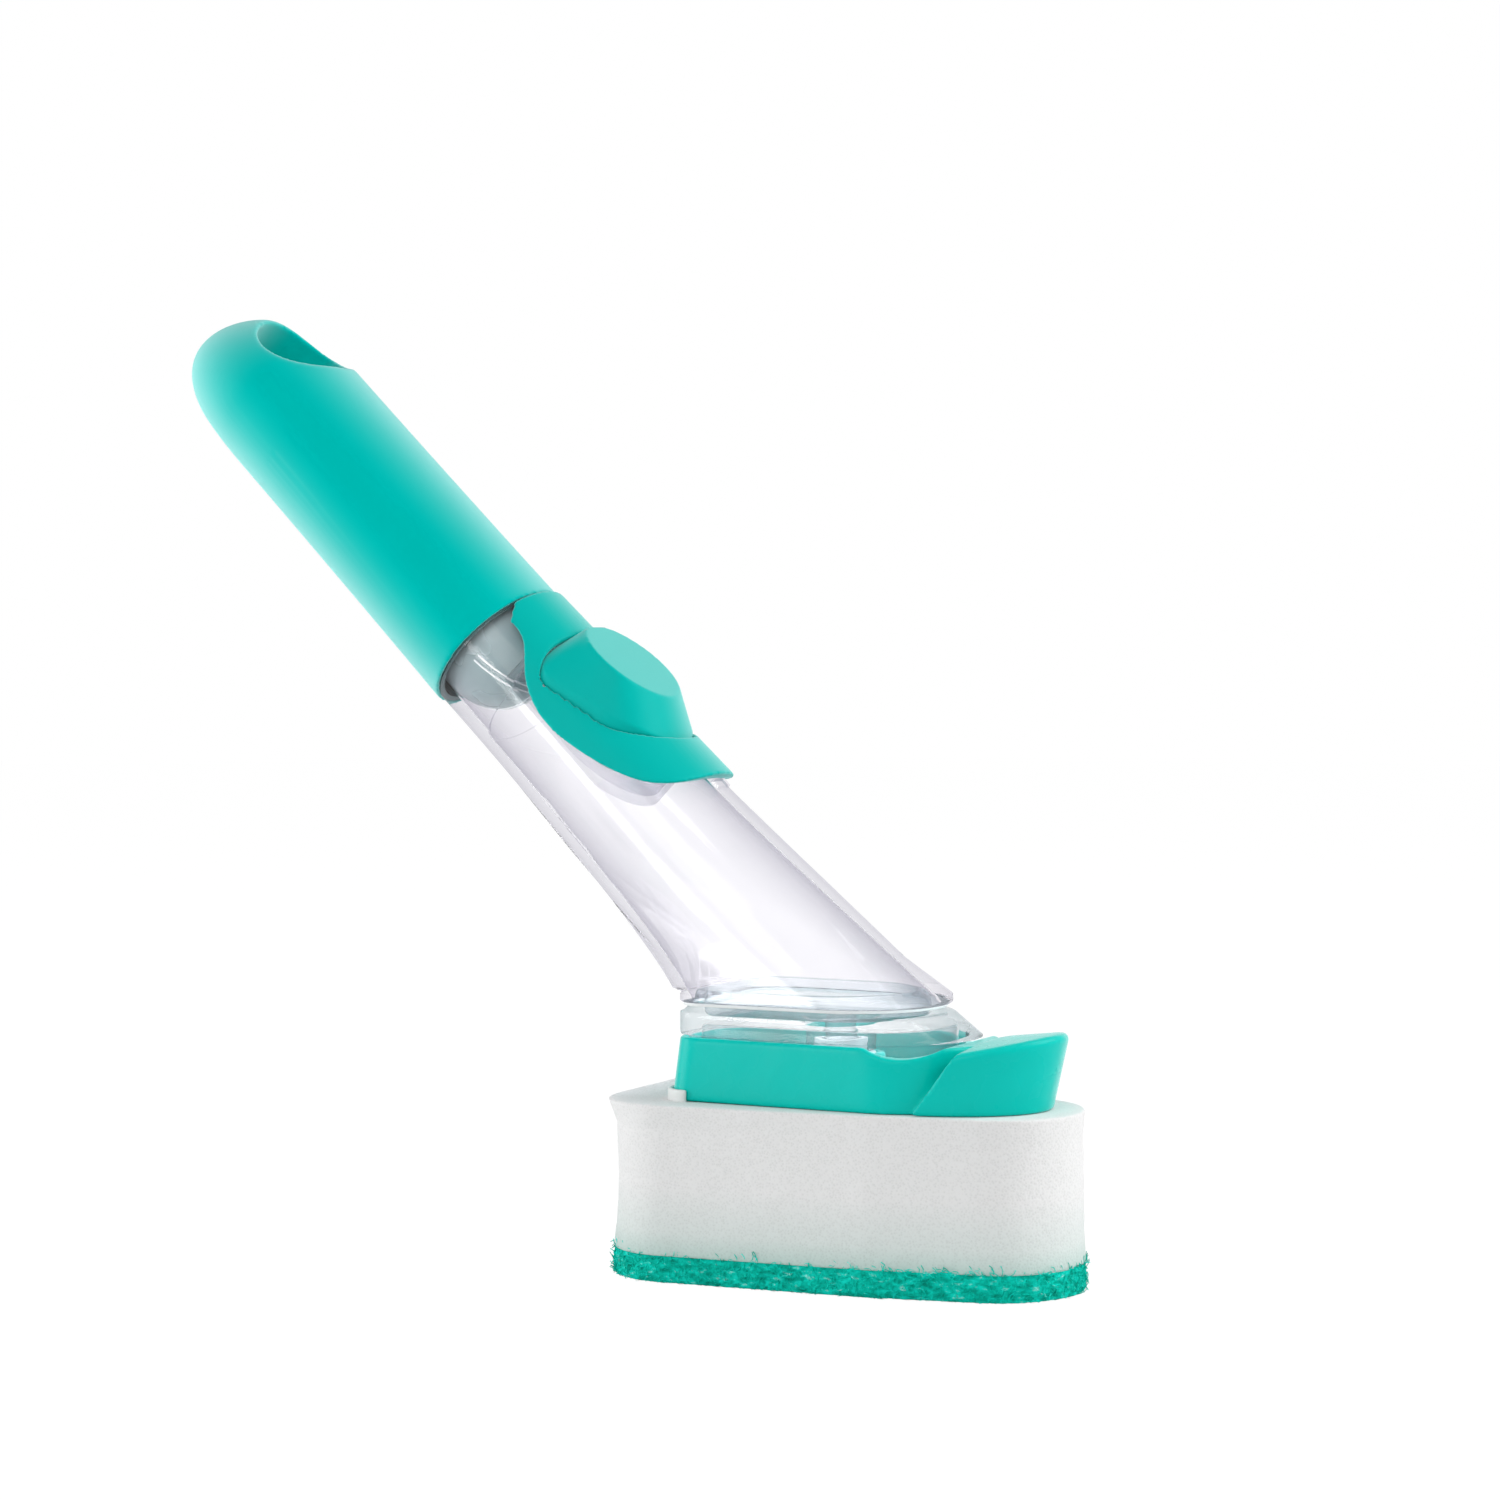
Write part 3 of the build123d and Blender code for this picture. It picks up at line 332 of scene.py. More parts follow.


# %% [markdown]
# ### The teal plastics
#
# The same teal comes in three surfaces. The handle is a rubbery over-moulding with almost
# no gloss, the bezel and the button are satin, and the sponge carrier is the glossiest.

# %% Mix the teals
# Each teal carries a painted sheen: a paler tone painted into its colour towards its outline.
SOFT_TEAL = moulded(
    "soft teal",
    light_tone=(0.0, 0.56, 0.515),
    dark_tone=(0.0, 0.54, 0.495),
    rough=(0.42, 0.52),
    grain=5200.0,
    relief=0.00002,
    gloss=0.0,
    painted_sheen=(0.36, 0.78, 0.75),
    painted_sheen_from=0.12,
)
SATIN_TEAL = moulded(
    "satin teal",
    light_tone=(0.0, 0.505, 0.455),
    dark_tone=(0.0, 0.48, 0.43),
    rough=(0.34, 0.46),
    grain=4200.0,
    relief=0.00003,
    gloss=0.05,
    painted_sheen=(0.20, 0.66, 0.62),
    painted_sheen_from=0.3,
)
GLOSS_TEAL = moulded(
    "gloss teal",
    light_tone=(0.0, 0.60, 0.525),
    dark_tone=(0.0, 0.58, 0.505),
    rough=(0.24, 0.32),
    grain=160.0,
    relief=0.00002,
    gloss=0.1,
    painted_sheen=(0.20, 0.72, 0.66),
    painted_sheen_from=0.55,
)

# %% [markdown]
# ### The clear plastics
#
# The tank is clear moulded plastic with a trace of violet, the cap under it has a trace of
# blue, and the stopper is frosted. Light has to reach what stands behind a clear wall, so
# rays that look for a lamp pass straight through. The walls bend light far less than solid
# plastic does, which keeps their insides open to view. Their outline is painted into the
# colour where a wall is seen at a glancing angle: painted shade on the tank and the cap, and
# a painted pale sheen on the stopper. Their shine comes from a thin coat.

# %% Mix the clear plastics
COAT_WEIGHT = 0.3
COAT_ROUGHNESS = 0.06
GLANCE_BLEND = 0.35
TINT_STOPS = (0.2, 1.0)
TINT_DRIFT = (22.0, 0.25)
WALL_FLOW = (90.0, 0.00003)
SHADOW_TINT = (0.95, 0.95, 0.97, 1.0)


def clear_plastic(name, tint, painted_edge_tone, rough, bend, cloud):
    """A clear moulding: its tint square on, the tone painted at a glancing edge, and how milky it
    is.
    """
    made = bpy.data.materials.new(name)
    made.use_nodes = True
    tree = made.node_tree
    shader = tree.nodes["Principled BSDF"]
    out = tree.nodes["Material Output"]
    shader.inputs["Transmission Weight"].default_value = 1.0 - cloud
    shader.inputs["IOR"].default_value = bend
    shader.inputs["Coat Weight"].default_value = COAT_WEIGHT
    shader.inputs["Coat Roughness"].default_value = COAT_ROUGHNESS
    # Painted edge tone: the colour is painted towards the edge tone where the wall turns away from
    # the eye. This is painted shade on the clear walls and a painted pale sheen on the frosted
    # stopper.
    glance = node(tree, "ShaderNodeLayerWeight")
    glance.inputs["Blend"].default_value = GLANCE_BLEND
    drift_scale, drift_share = TINT_DRIFT
    drift = noise(tree, drift_scale, 2.0)
    shift = node(tree, "ShaderNodeMath", operation="MULTIPLY_ADD")
    tree.links.new(drift, shift.inputs[0])
    shift.inputs[1].default_value = drift_share
    tree.links.new(glance.outputs["Facing"], shift.inputs[2])
    tone = ramp(tree, shift.outputs[0], zip(TINT_STOPS, (tint, painted_edge_tone)))
    tree.links.new(tone, shader.inputs["Base Color"])
    flow_scale, flow_depth = WALL_FLOW
    flow = noise(tree, flow_scale, 2.0)
    tree.links.new(spread(tree, flow, rough * 0.6, rough * 1.4), shader.inputs["Roughness"])
    tree.links.new(bump(tree, flow, flow_depth), shader.inputs["Normal"])
    path = node(tree, "ShaderNodeLightPath")
    through = node(tree, "ShaderNodeBsdfTransparent")
    through.inputs["Color"].default_value = SHADOW_TINT
    mix = node(tree, "ShaderNodeMixShader")
    tree.links.new(path.outputs["Is Shadow Ray"], mix.inputs[0])
    tree.links.new(shader.outputs[0], mix.inputs[1])
    tree.links.new(through.outputs[0], mix.inputs[2])
    tree.links.new(mix.outputs[0], out.inputs["Surface"])
    return made


CLEAR = clear_plastic(
    "clear tank",
    tint=(0.968, 0.962, 0.985),
    painted_edge_tone=(0.52, 0.51, 0.58),
    rough=0.02,
    bend=1.015,
    cloud=0.015,
)
CLEAR_CAP = clear_plastic(
    "clear cap",
    tint=(0.90, 0.93, 0.945),
    painted_edge_tone=(0.34, 0.42, 0.45),
    rough=0.03,
    bend=1.03,
    cloud=0.05,
)
FROSTED = clear_plastic(
    "frosted plug",
    tint=(0.42, 0.54, 0.54),
    painted_edge_tone=(0.62, 0.72, 0.72),
    rough=0.25,
    bend=1.1,
    cloud=0.5,
)

# %% [markdown]
# ### The hidden materials
#
# Silicone, white plastic, grey plastic and spring wire hardly show, but they are seen
# through the clear walls and when the pieces are drawn apart.

# %% Mix the small materials
SMALL_MATERIALS = {
    # name: (light tone, dark tone, roughness range, grain, gloss)
    "silicone": ((0.74, 0.77, 0.77), (0.70, 0.74, 0.74), (0.35, 0.5), 1500.0, 0.4),
    "white plastic": ((0.82, 0.84, 0.83), (0.78, 0.81, 0.80), (0.35, 0.45), 2500.0, 0.25),
    "grey core": ((0.16, 0.28, 0.27), (0.13, 0.24, 0.23), (0.4, 0.5), 2500.0, 0.25),
    "spring wire": ((0.62, 0.63, 0.65), (0.55, 0.56, 0.58), (0.22, 0.32), 3000.0, 0.25),
}
SMALL_RELIEF = 0.00001
SILICONE, WHITE_PLASTIC, GREY_PLASTIC, STEEL = (
    moulded(name, light_tone, dark_tone, rough, grain, SMALL_RELIEF, gloss)
    for name, (light_tone, dark_tone, rough, grain, gloss) in SMALL_MATERIALS.items()
)
STEEL.node_tree.nodes["Principled BSDF"].inputs["Metallic"].default_value = 1.0

# %% [markdown]
# ### Foam and scourer
#
# The foam is an open-cell sponge, whose cells of about half a millimetre come from a Voronoi
# pattern, with painted shade in the middle of each cell, where its pore dips. Near its foot it
# is painted darker and greener, as painted shade and green bounce light from the scourer. The
# scourer is a mat of bonded fibres, so its pattern is noise that is squeezed in height, with
# painted shade in its gaps and a painted highlight on its top strands.

# %% Mix the foam and the scourer
FOAM_CELLS = 1900.0
FOAM_RELIEF = (0.0001, 0.6)
FOAM_PORE_SHADE = [(0.0, (0.72, 0.73, 0.72)), (0.3, (0.80, 0.80, 0.80)), (0.6, (0.84, 0.84, 0.84))]
FOOT_BOUNCE_HEIGHTS = (0.005, 0.019)
FOOT_BOUNCE_TONES = [(0.0, (0.62, 0.80, 0.75)), (0.35, (0.86, 0.93, 0.91)), (1.0, (1.0, 1.0, 1.0))]
FOAM_SCATTER = 0.004
STRAND_SCALE = 420.0
STRAND_SQUEEZE = (1.0, 1.0, 2.4)
STRAND_RELIEF = (0.0008, 0.9)
STRAND_SHADE_AND_HIGHLIGHT = [
    (0.3, (0.0, 0.44, 0.33)),
    (0.46, (0.0, 0.68, 0.54)),
    (0.62, (0.004, 0.84, 0.70)),
    (0.72, (0.40, 0.95, 0.88)),
]


def cells(tree, scale):
    """The distance from the middle of the nearest Voronoi cell."""
    place = node(tree, "ShaderNodeTexCoord")
    made = node(tree, "ShaderNodeTexVoronoi")
    made.inputs["Scale"].default_value = scale
    tree.links.new(place.outputs["Object"], made.inputs["Vector"])
    return made.outputs["Distance"]


def foam_finish():
    """Pale foam with fine cells, painted shade in their pores, and painted shade and green bounce
    light at its foot.
    """
    made = bpy.data.materials.new("foam")
    made.use_nodes = True
    tree = made.node_tree
    shader = tree.nodes["Principled BSDF"]
    pores = cells(tree, FOAM_CELLS)
    # Painted shade: each cell is darkest at its middle, where the relief dips into its pore.
    tone = ramp(tree, pores, FOAM_PORE_SHADE)
    # Painted shade and green bounce light: the colour turns darker and greener towards the foot,
    # next to the scourer.
    place = node(tree, "ShaderNodeTexCoord")
    split = node(tree, "ShaderNodeSeparateXYZ")
    tree.links.new(place.outputs["Object"], split.inputs[0])
    height = node(tree, "ShaderNodeMapRange")
    height.inputs["From Min"].default_value = FOOT_BOUNCE_HEIGHTS[0]
    height.inputs["From Max"].default_value = FOOT_BOUNCE_HEIGHTS[1]
    tree.links.new(split.outputs["Z"], height.inputs["Value"])
    foot_bounce = ramp(tree, height.outputs["Result"], FOOT_BOUNCE_TONES)
    both = node(tree, "ShaderNodeMix", data_type="RGBA", blend_type="MULTIPLY")
    both.inputs["Factor"].default_value = 1.0
    tree.links.new(tone, both.inputs["A"])
    tree.links.new(foot_bounce, both.inputs["B"])
    tree.links.new(both.outputs["Result"], shader.inputs["Base Color"])
    tree.links.new(bump(tree, pores, *FOAM_RELIEF), shader.inputs["Normal"])
    shader.inputs["Roughness"].default_value = 0.95
    shader.inputs["Specular IOR Level"].default_value = 0.1
    shader.inputs["Subsurface Weight"].default_value = 0.15
    shader.inputs["Subsurface Radius"].default_value = (FOAM_SCATTER,) * 3
    shader.inputs["Sheen Weight"].default_value = 0.2
    return made


def scourer_finish():
    """Matted green fibres, with painted shade in the gaps and a painted highlight on the strands
    that lie on top.
    """
    made = bpy.data.materials.new("scourer")
    made.use_nodes = True
    tree = made.node_tree
    shader = tree.nodes["Principled BSDF"]
    strands = noise(tree, STRAND_SCALE, 6.0, STRAND_SQUEEZE)
    # Painted shade and highlight: one noise gives both relief and colour, so the gaps are painted
    # dark and the raised strands pale.
    tone = ramp(tree, strands, STRAND_SHADE_AND_HIGHLIGHT)
    tree.links.new(tone, shader.inputs["Base Color"])
    tree.links.new(bump(tree, strands, *STRAND_RELIEF), shader.inputs["Normal"])
    shader.inputs["Roughness"].default_value = 0.8
    shader.inputs["Specular IOR Level"].default_value = 0.1
    return made


FOAM = foam_finish()
SCOURER = scourer_finish()

# %% [markdown]
# ## Skins for the moulded pieces
#
# The construction solids have knife-sharp edges. A moulded piece has a small radius on every
# edge, and that radius is what catches the light. So each opaque moulding gets a skin: a
# copy of its solid, remeshed in tiny cells and smoothed until its edges turn round.

# %% Soften the moulded solids
SKINS = {
    # node: (body, finish, material slot, cell in millimetres, smoothing rounds)
    "button_bezel": ("tank", SATIN_TEAL, "satin_teal", 0.26, 12),
    "button_cap": ("button", SATIN_TEAL, "satin_teal", 0.27, 12),
    "head_carrier": ("head", GLOSS_TEAL, "gloss_teal", 0.42, 8),
    "base_cap": ("tank", CLEAR_CAP, "clear_cap", 0.45, 6),
    "sponge_plate": ("head", WHITE_PLASTIC, "white_plastic", 0.4, 4),
}


def smooth_shaded(piece):
    """Shades a piece without facets."""
    for face in piece.data.polygons:
        face.use_smooth = True


def settle(piece):
    """Turns a piece's modifiers into plain mesh."""
    graph = bpy.context.evaluated_depsgraph_get()
    mesh = bpy.data.meshes.new_from_object(piece.evaluated_get(graph))
    piece.modifiers.clear()
    old = piece.data
    piece.data = mesh
    bpy.data.meshes.remove(old)
    smooth_shaded(piece)


def welded_copy(name):
    """A node's mesh with its triangles joined up, in an object of its own."""
    source = frame["nodes"][name]
    mesh = source.data.copy()
    mesh.transform(source.matrix_world)
    bm = bmesh.new()
    bm.from_mesh(mesh)
    bmesh.ops.remove_doubles(bm, verts=bm.verts, dist=1e-6)
    bm.to_mesh(mesh)
    bm.free()
    made = bpy.data.objects.new(name + "_skin", mesh)
    bpy.context.collection.objects.link(made)
    return made


def soften(piece, cell, rounds):
    """Remeshes a piece in small cells and smooths them, so that its edges turn round."""
    grid = piece.modifiers.new("grid", "REMESH")
    grid.mode = "VOXEL"
    grid.voxel_size = cell * MM
    flow = piece.modifiers.new("flow", "SMOOTH")
    flow.factor = 0.5
    flow.iterations = rounds
    settle(piece)
    print(f"{piece.name}: {len(piece.data.polygons)} faces")


def combine(piece, tool, way):
    """Joins, cuts or intersects a piece with a tool mesh, which is then thrown away."""
    change = piece.modifiers.new("combine", "BOOLEAN")
    change.operation = way
    change.solver = "EXACT"
    change.object = tool
    settle(piece)
    bpy.data.objects.remove(tool, do_unlink=True)


def dress(piece, finish, body, slot, *nodes):
    """Gives a finished piece its finish and its body, and hides the nodes that it stands for. The
    slot is not used.
    """
    piece.data.materials.clear()
    piece.data.materials.append(finish)
    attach(piece, body)
    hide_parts(*nodes)


BEZEL_REACH = 0.8
BEZEL_FADE = 8.0
BEZEL_SWELL = 0.2


def draw_up(piece, reach, fade):
    """Draws the end of a piece that lies next to the handle's rim up towards it."""
    for vertex in piece.data.vertices:
        below = -(np.array(vertex.co) / MM - RIM) @ TIP_WAY
        vertex.co += Vector(TIP_WAY) * (reach * MM * max(0.0, 1 - below / fade))


def swell(piece, amount):
    """Moves a skin out along its normals, to make good what smoothing took off its thin edges."""
    normals = [vertex.normal.copy() for vertex in piece.data.vertices]
    for vertex, normal in zip(piece.data.vertices, normals):
        vertex.co += normal * (amount * MM)


for name, (body, finish, slot, cell, rounds) in SKINS.items():
    piece = welded_copy(name)
    if name == "button_bezel":
        draw_up(piece, BEZEL_REACH, BEZEL_FADE)
    soften(piece, cell, rounds)
    if name == "button_bezel":
        swell(piece, BEZEL_SWELL)
    dress(piece, finish, body, slot, name)

# %% [markdown]
# ## Curves and rings
#
# The tank and the sponge are drawn as stacks of rings. Each ring has the same number of
# points, spaced the same way round, so that neighbouring rings can be joined by clean
# four-sided faces.

# %% Ring helpers
def mesh_object(name, points, faces):
    """A mesh object from points in millimetres, with its faces turned outwards."""
    mesh = bpy.data.meshes.new(name)
    mesh.from_pydata((np.asarray(points, float) * MM).tolist(), [], faces)
    bm = bmesh.new()
    bm.from_mesh(mesh)
    bmesh.ops.recalc_face_normals(bm, faces=bm.faces)
    bm.to_mesh(mesh)
    bm.free()
    made = bpy.data.objects.new(name, mesh)
    bpy.context.collection.objects.link(made)
    smooth_shaded(made)
    return made


def ring_faces(levels, around, closed):
    """Four-sided faces between the rings, and back from the last to the first if closed."""
    faces = []
    for level in range(levels if closed else levels - 1):
        below, above = level * around, (level + 1) % levels * around
        for step in range(around):
            following = (step + 1) % around
            faces.append((below + step, below + following, above + following, above + step))
    return faces


def skin(name, rings):
    """A closed skin over a stack of rings, with a fan of faces at each end."""
    levels, around = np.shape(rings)[:2]
    points = [*np.reshape(rings, (-1, 3)), np.mean(rings[0], 0), np.mean(rings[-1], 0)]
    faces = ring_faces(levels, around, False)
    last = (levels - 1) * around
    for step in range(around):
        following = (step + 1) % around
        faces.append((levels * around, following, step))
        faces.append((levels * around + 1, last + step, last + following))
    return mesh_object(name, points, faces)


def tube(name, rings):
    """A closed wall: up the outside of a pipe and down its inside."""
    levels, around = np.shape(rings)[:2]
    return mesh_object(name, np.reshape(rings, (-1, 3)), ring_faces(levels, around, True))


def curve_through(stations, count):
    """A natural cubic through stations, which may be whole rings, spaced by their mean distance."""
    stations = np.asarray(stations, float)
    steps = np.linalg.norm(np.diff(stations, axis=0), axis=-1)
    gaps = steps.reshape(len(steps), -1).mean(1)
    knots = np.r_[0, np.cumsum(gaps)]
    flat = stations.reshape(len(stations), -1)
    system = np.eye(len(knots))
    right = np.zeros_like(flat)
    for k in range(1, len(knots) - 1):
        system[k, k - 1 : k + 2] = gaps[k - 1], 2 * (gaps[k - 1] + gaps[k]), gaps[k]
        right[k] = 6 * ((flat[k + 1] - flat[k]) / gaps[k] - (flat[k] - flat[k - 1]) / gaps[k - 1])
    bend = np.linalg.solve(system, right)
    made = []
    for at in np.linspace(0, knots[-1], count):
        k = min(np.searchsorted(knots, at, "right") - 1, len(gaps) - 1)
        left, after = at - knots[k], knots[k + 1] - at
        value = (bend[k] * after**3 + bend[k + 1] * left**3) / (6 * gaps[k])
        value += (flat[k] / gaps[k] - bend[k] * gaps[k] / 6) * after
        value += (flat[k + 1] / gaps[k] - bend[k + 1] * gaps[k] / 6) * left
        made.append(value)
    return np.array(made).reshape(-1, *stations.shape[1:])


# %% [markdown]
# ## The handle
#
# The handle is a slim barrel that ends in an egg, drawn a little towards its lower side. A
# round eye goes through it for a hook. The eye is a cutter whose two mouths roll out into
# the handle's own surface, so that its lips are soft, as the rubbery cover's lips are.

# %% The handle's form
HANDLE_RIM = 16.4
HANDLE_WAIST = 15.9
HANDLE_WAIST_AT = 76.0
HANDLE_LENGTH = 99.0
HANDLE_AROUND = 240
BARREL_RINGS = 40
EGG_RINGS = 60
TIP_DROOP = 4.2
SOCKET = (15.45, 62.2)
EYE_AT = 80.2
EYE_UPPER = (9.8, 11.0)
EYE_LOWER = (9.0, 7.2)
EYE_LIP = 1.5
EYE_AROUND = 128
LIP_RINGS = 9


def handle_section(height):
    """The handle's radius and the shift of its middle, at heights above the rim."""
    barrel = np.clip(height / HANDLE_WAIST_AT, 0, 1)
    egg = np.clip((height - HANDLE_WAIST_AT) / (HANDLE_LENGTH - HANDLE_WAIST_AT), 0, 1)
    radius = HANDLE_RIM + (HANDLE_WAIST - HANDLE_RIM) * barrel * (2 - barrel)
    return radius * np.sqrt(1 - egg**2), -TIP_DROOP * egg**2


def handle_side(across, height, way):
    """How far the handle's skin stands out on its upper (1) or lower (-1) side."""
    radius, shift = handle_section(height)
    return shift + way * np.sqrt(np.clip(radius**2 - across**2, 1.0, None))


def eye_ring(way, size, growth, depth):
    """A ring of the eye's cutter, at a depth under the handle's skin on one side."""
    turn = np.linspace(0, 2 * pi, EYE_AROUND, endpoint=False)
    along = EYE_AT + (size[0] + growth) * np.cos(turn)
    across = (size[1] + growth) * np.sin(turn)
    return from_wand(np.column_stack([handle_side(across, along, way) - way * depth, across, along]))


def eye_mouth(way, size):
    """Rings from inside the handle out through one mouth, rolling out at the lip."""
    rings = [eye_ring(way, size, 0.0, EYE_LIP * 2)]
    for turn in np.linspace(0, pi / 2, LIP_RINGS):
        rings.append(eye_ring(way, size, EYE_LIP * (1 - cos(turn)), EYE_LIP * (1 - sin(turn))))
    for clear in (1.0, 5.0):
        rings.append(eye_ring(way, size, EYE_LIP * 1.2, -clear))
    return rings


def handle_ring(radius, shift, height):
    """A round ring across the handle, with its middle shifted off the axis."""
    turn = np.linspace(0, 2 * pi, HANDLE_AROUND, endpoint=False)
    ring = [shift + radius * np.cos(turn), radius * np.sin(turn), np.full(HANDLE_AROUND, height)]
    return from_wand(np.stack(ring, 1))


# %% Build the handle
barrel_heights = np.linspace(0, HANDLE_WAIST_AT, BARREL_RINGS)
egg_shares = np.sin(np.linspace(0, pi / 2, EGG_RINGS)[1:-1])
egg_heights = HANDLE_WAIST_AT + (HANDLE_LENGTH - HANDLE_WAIST_AT) * egg_shares
handle_heights = [*barrel_heights, *egg_heights]
handle = skin("handle_skin", [handle_ring(*handle_section(h), h) for h in handle_heights])
socket_radius, socket_depth = SOCKET
socket = [handle_ring(socket_radius, 0.0, height) for height in (-1.0, socket_depth)]
combine(handle, skin("socket", socket), "DIFFERENCE")
eye = eye_mouth(-1, EYE_LOWER)[::-1] + eye_mouth(1, EYE_UPPER)
combine(handle, skin("eye", eye), "DIFFERENCE")
soften(handle, 0.45, 8)
dress(handle, SOFT_TEAL, "handle", "soft_teal", "handle_grip")

# %% [markdown]
# ## The clear tank
#
# The tank is one tube wall. It starts as a circle under the handle, swells a little, and
# turns into a flat-backed foot. Five sections set the form, and a curve through them gives
# the rest. A second, smaller set of sections gives the inside of the wall.

# %% The tank's sections
TANK_WALL = 2.3
NECK_RADIUS = 15.8
WAIST_RADIUS = 16.4
WAIST_AT = 52.0
KNEE_TILT = radians(22)
KNEE = (-22.4, 67.6)
KNEE_SIZE = (19.4, 18.2)
FOOT_BACK = -31.6
FOOT_FRONT = 19.2
FOOT_HALF = 19.3
FOOT_CORNER = 6.0
FOOT_HEIGHT = 54.5
FLANGE = (0.4, 1.9)
SPIGOT = (13.0, 14.2, 13.5)
NECK_BORE_DEPTH = 14.0
EDGE = 0.3
TANK_RINGS = 96
EDGE_POINTS = (34, 128, 34, 20, 30, 20)
ROUND_CUTS = (-135, -80, 80, 135, 155, 205, 225)


def arc(middle, radius, start, end, count):
    """Points on an arc between two angles in degrees, without the last one."""
    turn = np.radians(np.linspace(start, end, count, endpoint=False))
    return np.stack([middle[0] + radius * np.cos(turn), middle[1] + radius * np.sin(turn)], 1)


def straight(start, end, count):
    """Points on a straight line, without the last one."""
    share = np.linspace(0, 1, count, endpoint=False)[:, None]
    return np.asarray(start) + (np.asarray(end) - np.asarray(start)) * share


def foot_plan(back, front, half, corner):
    """Straight back, rounded corners, straight sides and a half-round front."""
    side, front_arc, other, turn, rear, turn_back = EDGE_POINTS
    middle = front - half
    return np.vstack(
        [
            straight((back + corner, -half), (middle, -half), side),
            arc((middle, 0), half, -90, 90, front_arc),
            straight((middle, half), (back + corner, half), other),
            arc((back + corner, half - corner), corner, 90, 180, turn),
            straight((back, half - corner), (back, corner - half), rear),
            arc((back + corner, corner - half), corner, 180, 270, turn_back),
        ]
    )


def round_plan(radius):
    """A circle with its points shared out as on the foot."""
    parts = zip(ROUND_CUTS, ROUND_CUTS[1:], EDGE_POINTS)
    return np.vstack([arc((0, 0), radius, start, end, count) for start, end, count in parts])


def neck_ring(radius, distance):
    """A round ring square to the wand's axis, at a distance down from the handle's rim."""
    plan = round_plan(radius)
    return from_wand(np.column_stack([plan, np.full(len(plan), -distance)]))


def foot_ring(inset, height, front=FOOT_FRONT):
    """A level ring of the foot, drawn in all round."""
    corner = FOOT_CORNER - inset / 2
    plan = foot_plan(FOOT_BACK + inset, front - inset, FOOT_HALF - inset, corner)
    return np.column_stack([plan, np.full(len(plan), height)])


def knee_ring(inset):
    """The tilted ring where the tank bends from its foot into its slant."""
    length, half = KNEE_SIZE[0] - inset, KNEE_SIZE[1] - inset
    plan = foot_plan(-length, length, half, half * 0.8)
    along = KNEE[0] + plan[:, 0] * cos(KNEE_TILT)
    return np.column_stack([along, plan[:, 1], KNEE[1] + plan[:, 0] * sin(KNEE_TILT)])


def tank_rings(inset, top):
    """The wall's rings from the foot up to a distance below the handle's rim."""
    stations = [
        foot_ring(inset, FOOT_HEIGHT),
        knee_ring(inset),
        neck_ring(WAIST_RADIUS - inset, WAIST_AT),
        neck_ring(NECK_RADIUS - inset, WAIST_AT / 2),
        neck_ring(NECK_RADIUS - inset, top),
    ]
    return curve_through(stations, TANK_RINGS)


# %% Build the tank's wall
lip, flange_height = FLANGE
bore, spigot_radius, spigot_length = SPIGOT
flange_top = FOOT_HEIGHT + flange_height
outside = [ring for ring in tank_rings(0, 0) if ring[:, 2].min() > flange_top]
inside = tank_rings(TANK_WALL, NECK_BORE_DEPTH)
lip_front = FOOT_FRONT + lip
wall = [
    foot_ring(EDGE, FOOT_HEIGHT, lip_front),
    foot_ring(0, FOOT_HEIGHT + EDGE, lip_front),
    foot_ring(0, flange_top - EDGE, lip_front),
    foot_ring(EDGE, flange_top, lip_front),
    *outside[:-1],
    neck_ring(NECK_RADIUS, EDGE),
    neck_ring(NECK_RADIUS - EDGE, 0),
    neck_ring(spigot_radius, 0),
    neck_ring(spigot_radius, EDGE - spigot_length),
    neck_ring(spigot_radius - EDGE, -spigot_length),
    neck_ring(bore + EDGE, -spigot_length),
    neck_ring(bore, EDGE - spigot_length),
    neck_ring(bore, NECK_BORE_DEPTH),
    *inside[::-1],
]
tank = tube("tank_wall", wall)
print("tank wall:", len(wall), "rings of", len(wall[0]), "points")

# %% [markdown]
# ### The pump's seat
#
# Under the bezel a shaped well is moulded into the tank: a floor with a round port, and a
# low wall round the button's skirt. It is joined to the wall and then hollowed out.

# %% Cut the pump's seat
BUTTON_AT = 28.9
BUTTON_CORNER = (6.0, 19.6, 9.1)
BUTTON_BELLY = (13.9, 31.0)
WELL_FLOOR = 3.4
WELL_PLATE = 1.6
WELL_MARGIN = 1.9
WELL_WALL = 1.4
PORT_RADIUS = 7.4
PORT_SIDES = 96
PORT_FOOT = 1.0
LUG = (2.0, 5.0, 1.1)
LUG_ROOT = 1.0
BEZEL_TIP = 55.4
OVER = 27.0
SHARP_ANGLE = radians(35)


def hull(discs, count=180):
    """The hull of discs (x, y, radius), one point for each direction of its outward normal."""
    angles = np.linspace(0, 2 * pi, count, endpoint=False)
    ways = np.stack([np.cos(angles), np.sin(angles)], 1)
    discs = np.asarray(discs, float)
    best = discs[(ways @ discs[:, :2].T + discs[:, 2]).argmax(1)]
    return best[:, :2] + best[:, 2:3] * ways


def wand_prism(name, plan, low, high):
    """A prism between two heights over the wand's axis, from (along, across) points."""
    rings = []
    for height in (low, high):
        ring = np.column_stack([np.full(len(plan), height), plan[:, 1], plan[:, 0]])
        rings.append(from_wand(ring))
    return skin(name, rings)


def button_prism(name, grow, low, high):
    """The button's plan, grown all round, between two heights over the wand's axis."""
    radius, corner_at, side = BUTTON_CORNER
    belly, belly_at = BUTTON_BELLY
    corners = [(corner_at, across, radius + grow) for across in (-side, side)]
    plan = hull([*corners, (belly_at, 0, belly + grow)])
    return wand_prism(name, plan * (-1, 1), low, high)


